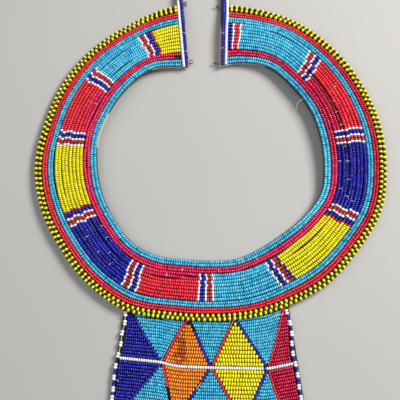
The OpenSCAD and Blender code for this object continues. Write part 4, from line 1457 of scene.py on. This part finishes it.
# The two legs of an eye lie side by side under the hide, and open into its ring
leg_y = WIRE_D / 2 + AIR
ring_r = (EYE_W + WIRE_D) / 2
leg_angle = math.asin(leg_y / ring_r)
eye_x = ring_r * math.cos(leg_angle) + WIRE_D / 2
eye_path = [(-WIRE_TAIL, -leg_y, 0)] + [
    (eye_x + ring_r * math.cos(a), ring_r * math.sin(a), 0)
    for a in (lerp(-math.pi + leg_angle, math.pi - leg_angle, i / EYE_STEPS) for i in range(EYE_STEPS + 1))
] + [(-WIRE_TAIL, leg_y, 0)]
hook_path = [(-WIRE_TAIL, 0, 0)] + [
    (HOOK_L - HOOK_R + HOOK_R * math.cos(a), 0, HOOK_R + HOOK_R * math.sin(a))
    for a in (lerp(-math.pi / 2, math.pi / 2, i / HOOK_STEPS) for i in range(HOOK_STEPS + 1))
] + [(HOOK_L - HOOK_R - HOOK_TIP, 0, 2 * HOOK_R)]


def sewn_wire(side, x, turn, path):
    """A wire's path, moved to its foot on the line of an end and turned from straight out."""
    ring = end_ring(side, 0)
    foot = plan(ring, x)
    foot.z = under_z(ring, x) - AIR - WIRE_D / 2
    along = (plan(ring, BAND_W) - plan(ring, 0)).normalized()
    out = Vector((along.y, -along.x, 0)) if side == LEFT else Vector((-along.y, along.x, 0))
    angle = math.atan2(out.y, out.x) + math.radians(turn)
    ahead = Vector((math.cos(angle), math.sin(angle), 0))
    beside = Vector((-math.sin(angle), math.cos(angle), 0))
    return [foot + ahead * p[0] + beside * p[1] + Vector((0, 0, p[2])) for p in path]


# Columns: name, end, share of the band's width, turn, path, finish
WIRES = [
    ("outer_eye", LEFT, 1.035, 0, eye_path, dull_wire), ("inner_eye", LEFT, 0.09, 0, eye_path, dull_wire),
    ("outer_hook", RIGHT, 0.945, -35, hook_path, dark_wire),
    ("inner_hook", RIGHT, 0.06, 0, hook_path, dull_wire),
]
for name, side, share, turn, path, finish in WIRES:
    piece = strands(f"{name}_wire", [sewn_wire(side, share * BAND_W, turn, path)], WIRE_D, finish, 4)
    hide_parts(name)
print("wires:", len(WIRES))

# %% Stitches
# Thickness of the thread in a stitch, where beads are lost, and in a loose end
STITCH_D, BARE_D, LOOSE_D = 0.28, 0.38, 0.3
# Where a stitch lies over the hide, in beads, how far it rises and how far its ends go down
STITCH_SHARE, STITCH_RISE, STITCH_SINK = 0.85, 0.3, 0.5


def stitch(angle, x, half):
    """A thread that comes up beside a string of the band, crosses it and goes down again."""
    height = HIDE_T + AIR + STITCH_SHARE * FIELD_BEAD - creased(angle, x)[1]
    return [band_point((angle, angle), x + half * s,
                       height + STITCH_RISE * (1 - s * s) - (STITCH_SINK if abs(s) == 1 else 0))
            for s in (-1, -0.6, 0, 0.6, 1)]


# Pale stitches that catch the eye: angle, distance from the neck edge, half width
PALE_STITCHES = [
    (-14.8, 20.1, 1.25), (-13.4, 15.8, 1.25), (-10.7, 10.8, 1.1), (-6.3, 15.4, 1.25), (1.5, 14.5, 1.2),
    (1.5, 9.5, 1.2), (8, 13.9, 1.2), (17.6, 15.1, 1.3), (23.4, 15.1, 1.3), (28, 16.5, 1.3), (32.9, 21.8, 1.2),
    (-149, 20.8, 1.2), (-141.2, 20.4, 1.2), (-134.4, 20.4, 1.2), (-138.1, 15.5, 1.2), (-144.2, 10.8, 1.1),
    (-149.8, 9.5, 1.1), (-111.3, 11.4, 1.2), (-104.8, 7.3, 1), (-85.7, 7, 1), (-64.5, 5.4, 1),
    (-49.9, 2.3, 1), (-71.9, 2.3, 0.7), (-208.8, 10.8, 1.2),
]
# Stitches over the navy end strings: side, distance from the neck edge
END_STITCHES = [(LEFT, 19.9), (LEFT, 8.7), (RIGHT, 19.8), (RIGHT, 10)]
# How far they reach outwards and inwards from the navy string's place, and how much they lean
OUTWARDS, INWARDS, STITCH_LEAN = 1.6, 1.2, 0.6
# Height of their ends over the hide, and how far they rise from there
END_HEIGHT, END_RISE = 1.0, 1.65
pale = [stitch(*row) for row in PALE_STITCHES]
for side, x in END_STITCHES:
    ring_a, ring_b = end_ring(side, NAVY_OFFSET - OUTWARDS), end_ring(side, NAVY_OFFSET + INWARDS)
    pale.append([band_point(between(ring_a, ring_b, t), x + STITCH_LEAN * t,
                            HIDE_T + END_HEIGHT + END_RISE * math.sin(math.pi * t))
                 for t in (0.05, 0.25, 0.5, 0.75, 0.95)])
strands("pale_stitches", pale, STITCH_D, pale_thread, 1)
strands("bare_threads", bare_threads, BARE_D, pale_thread, 1)
print("stitches:", len(pale))

# %% Loose ends
# One end hangs into the neck opening, the others lie over the panel
loose = [
    [band_point((36, 36), 1.2, HIDE_T), band_point((36.6, 36.6), -1.5, 1.6),
     band_point((36.4, 36.4), -4, 0.4), band_point((34.6, 34.6), -5.8, -1.5)],
    [(35.6, -96.6, 3.8), (37.2, -95.5, 4.3), (38.9, -94.6, 4.4), (40.7, -94.1, 4.4), (42.6, -93.9, 4.2),
     (44.8, -93.6, 3.6)],
    [(-56.6, -133.0, 3.3), (-56.1, -133.5, 3.7), (-55.6, -133.0, 3.3)],
]
strands("loose_threads", loose, LOOSE_D, pale_thread, 1)
print("loose ends:", len(loose))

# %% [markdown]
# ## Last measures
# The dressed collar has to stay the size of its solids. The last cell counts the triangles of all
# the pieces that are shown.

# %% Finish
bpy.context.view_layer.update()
triangles = sum(len(p.vertices) - 2 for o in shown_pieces() for p in o.data.polygons)
print("triangles in all:", triangles)
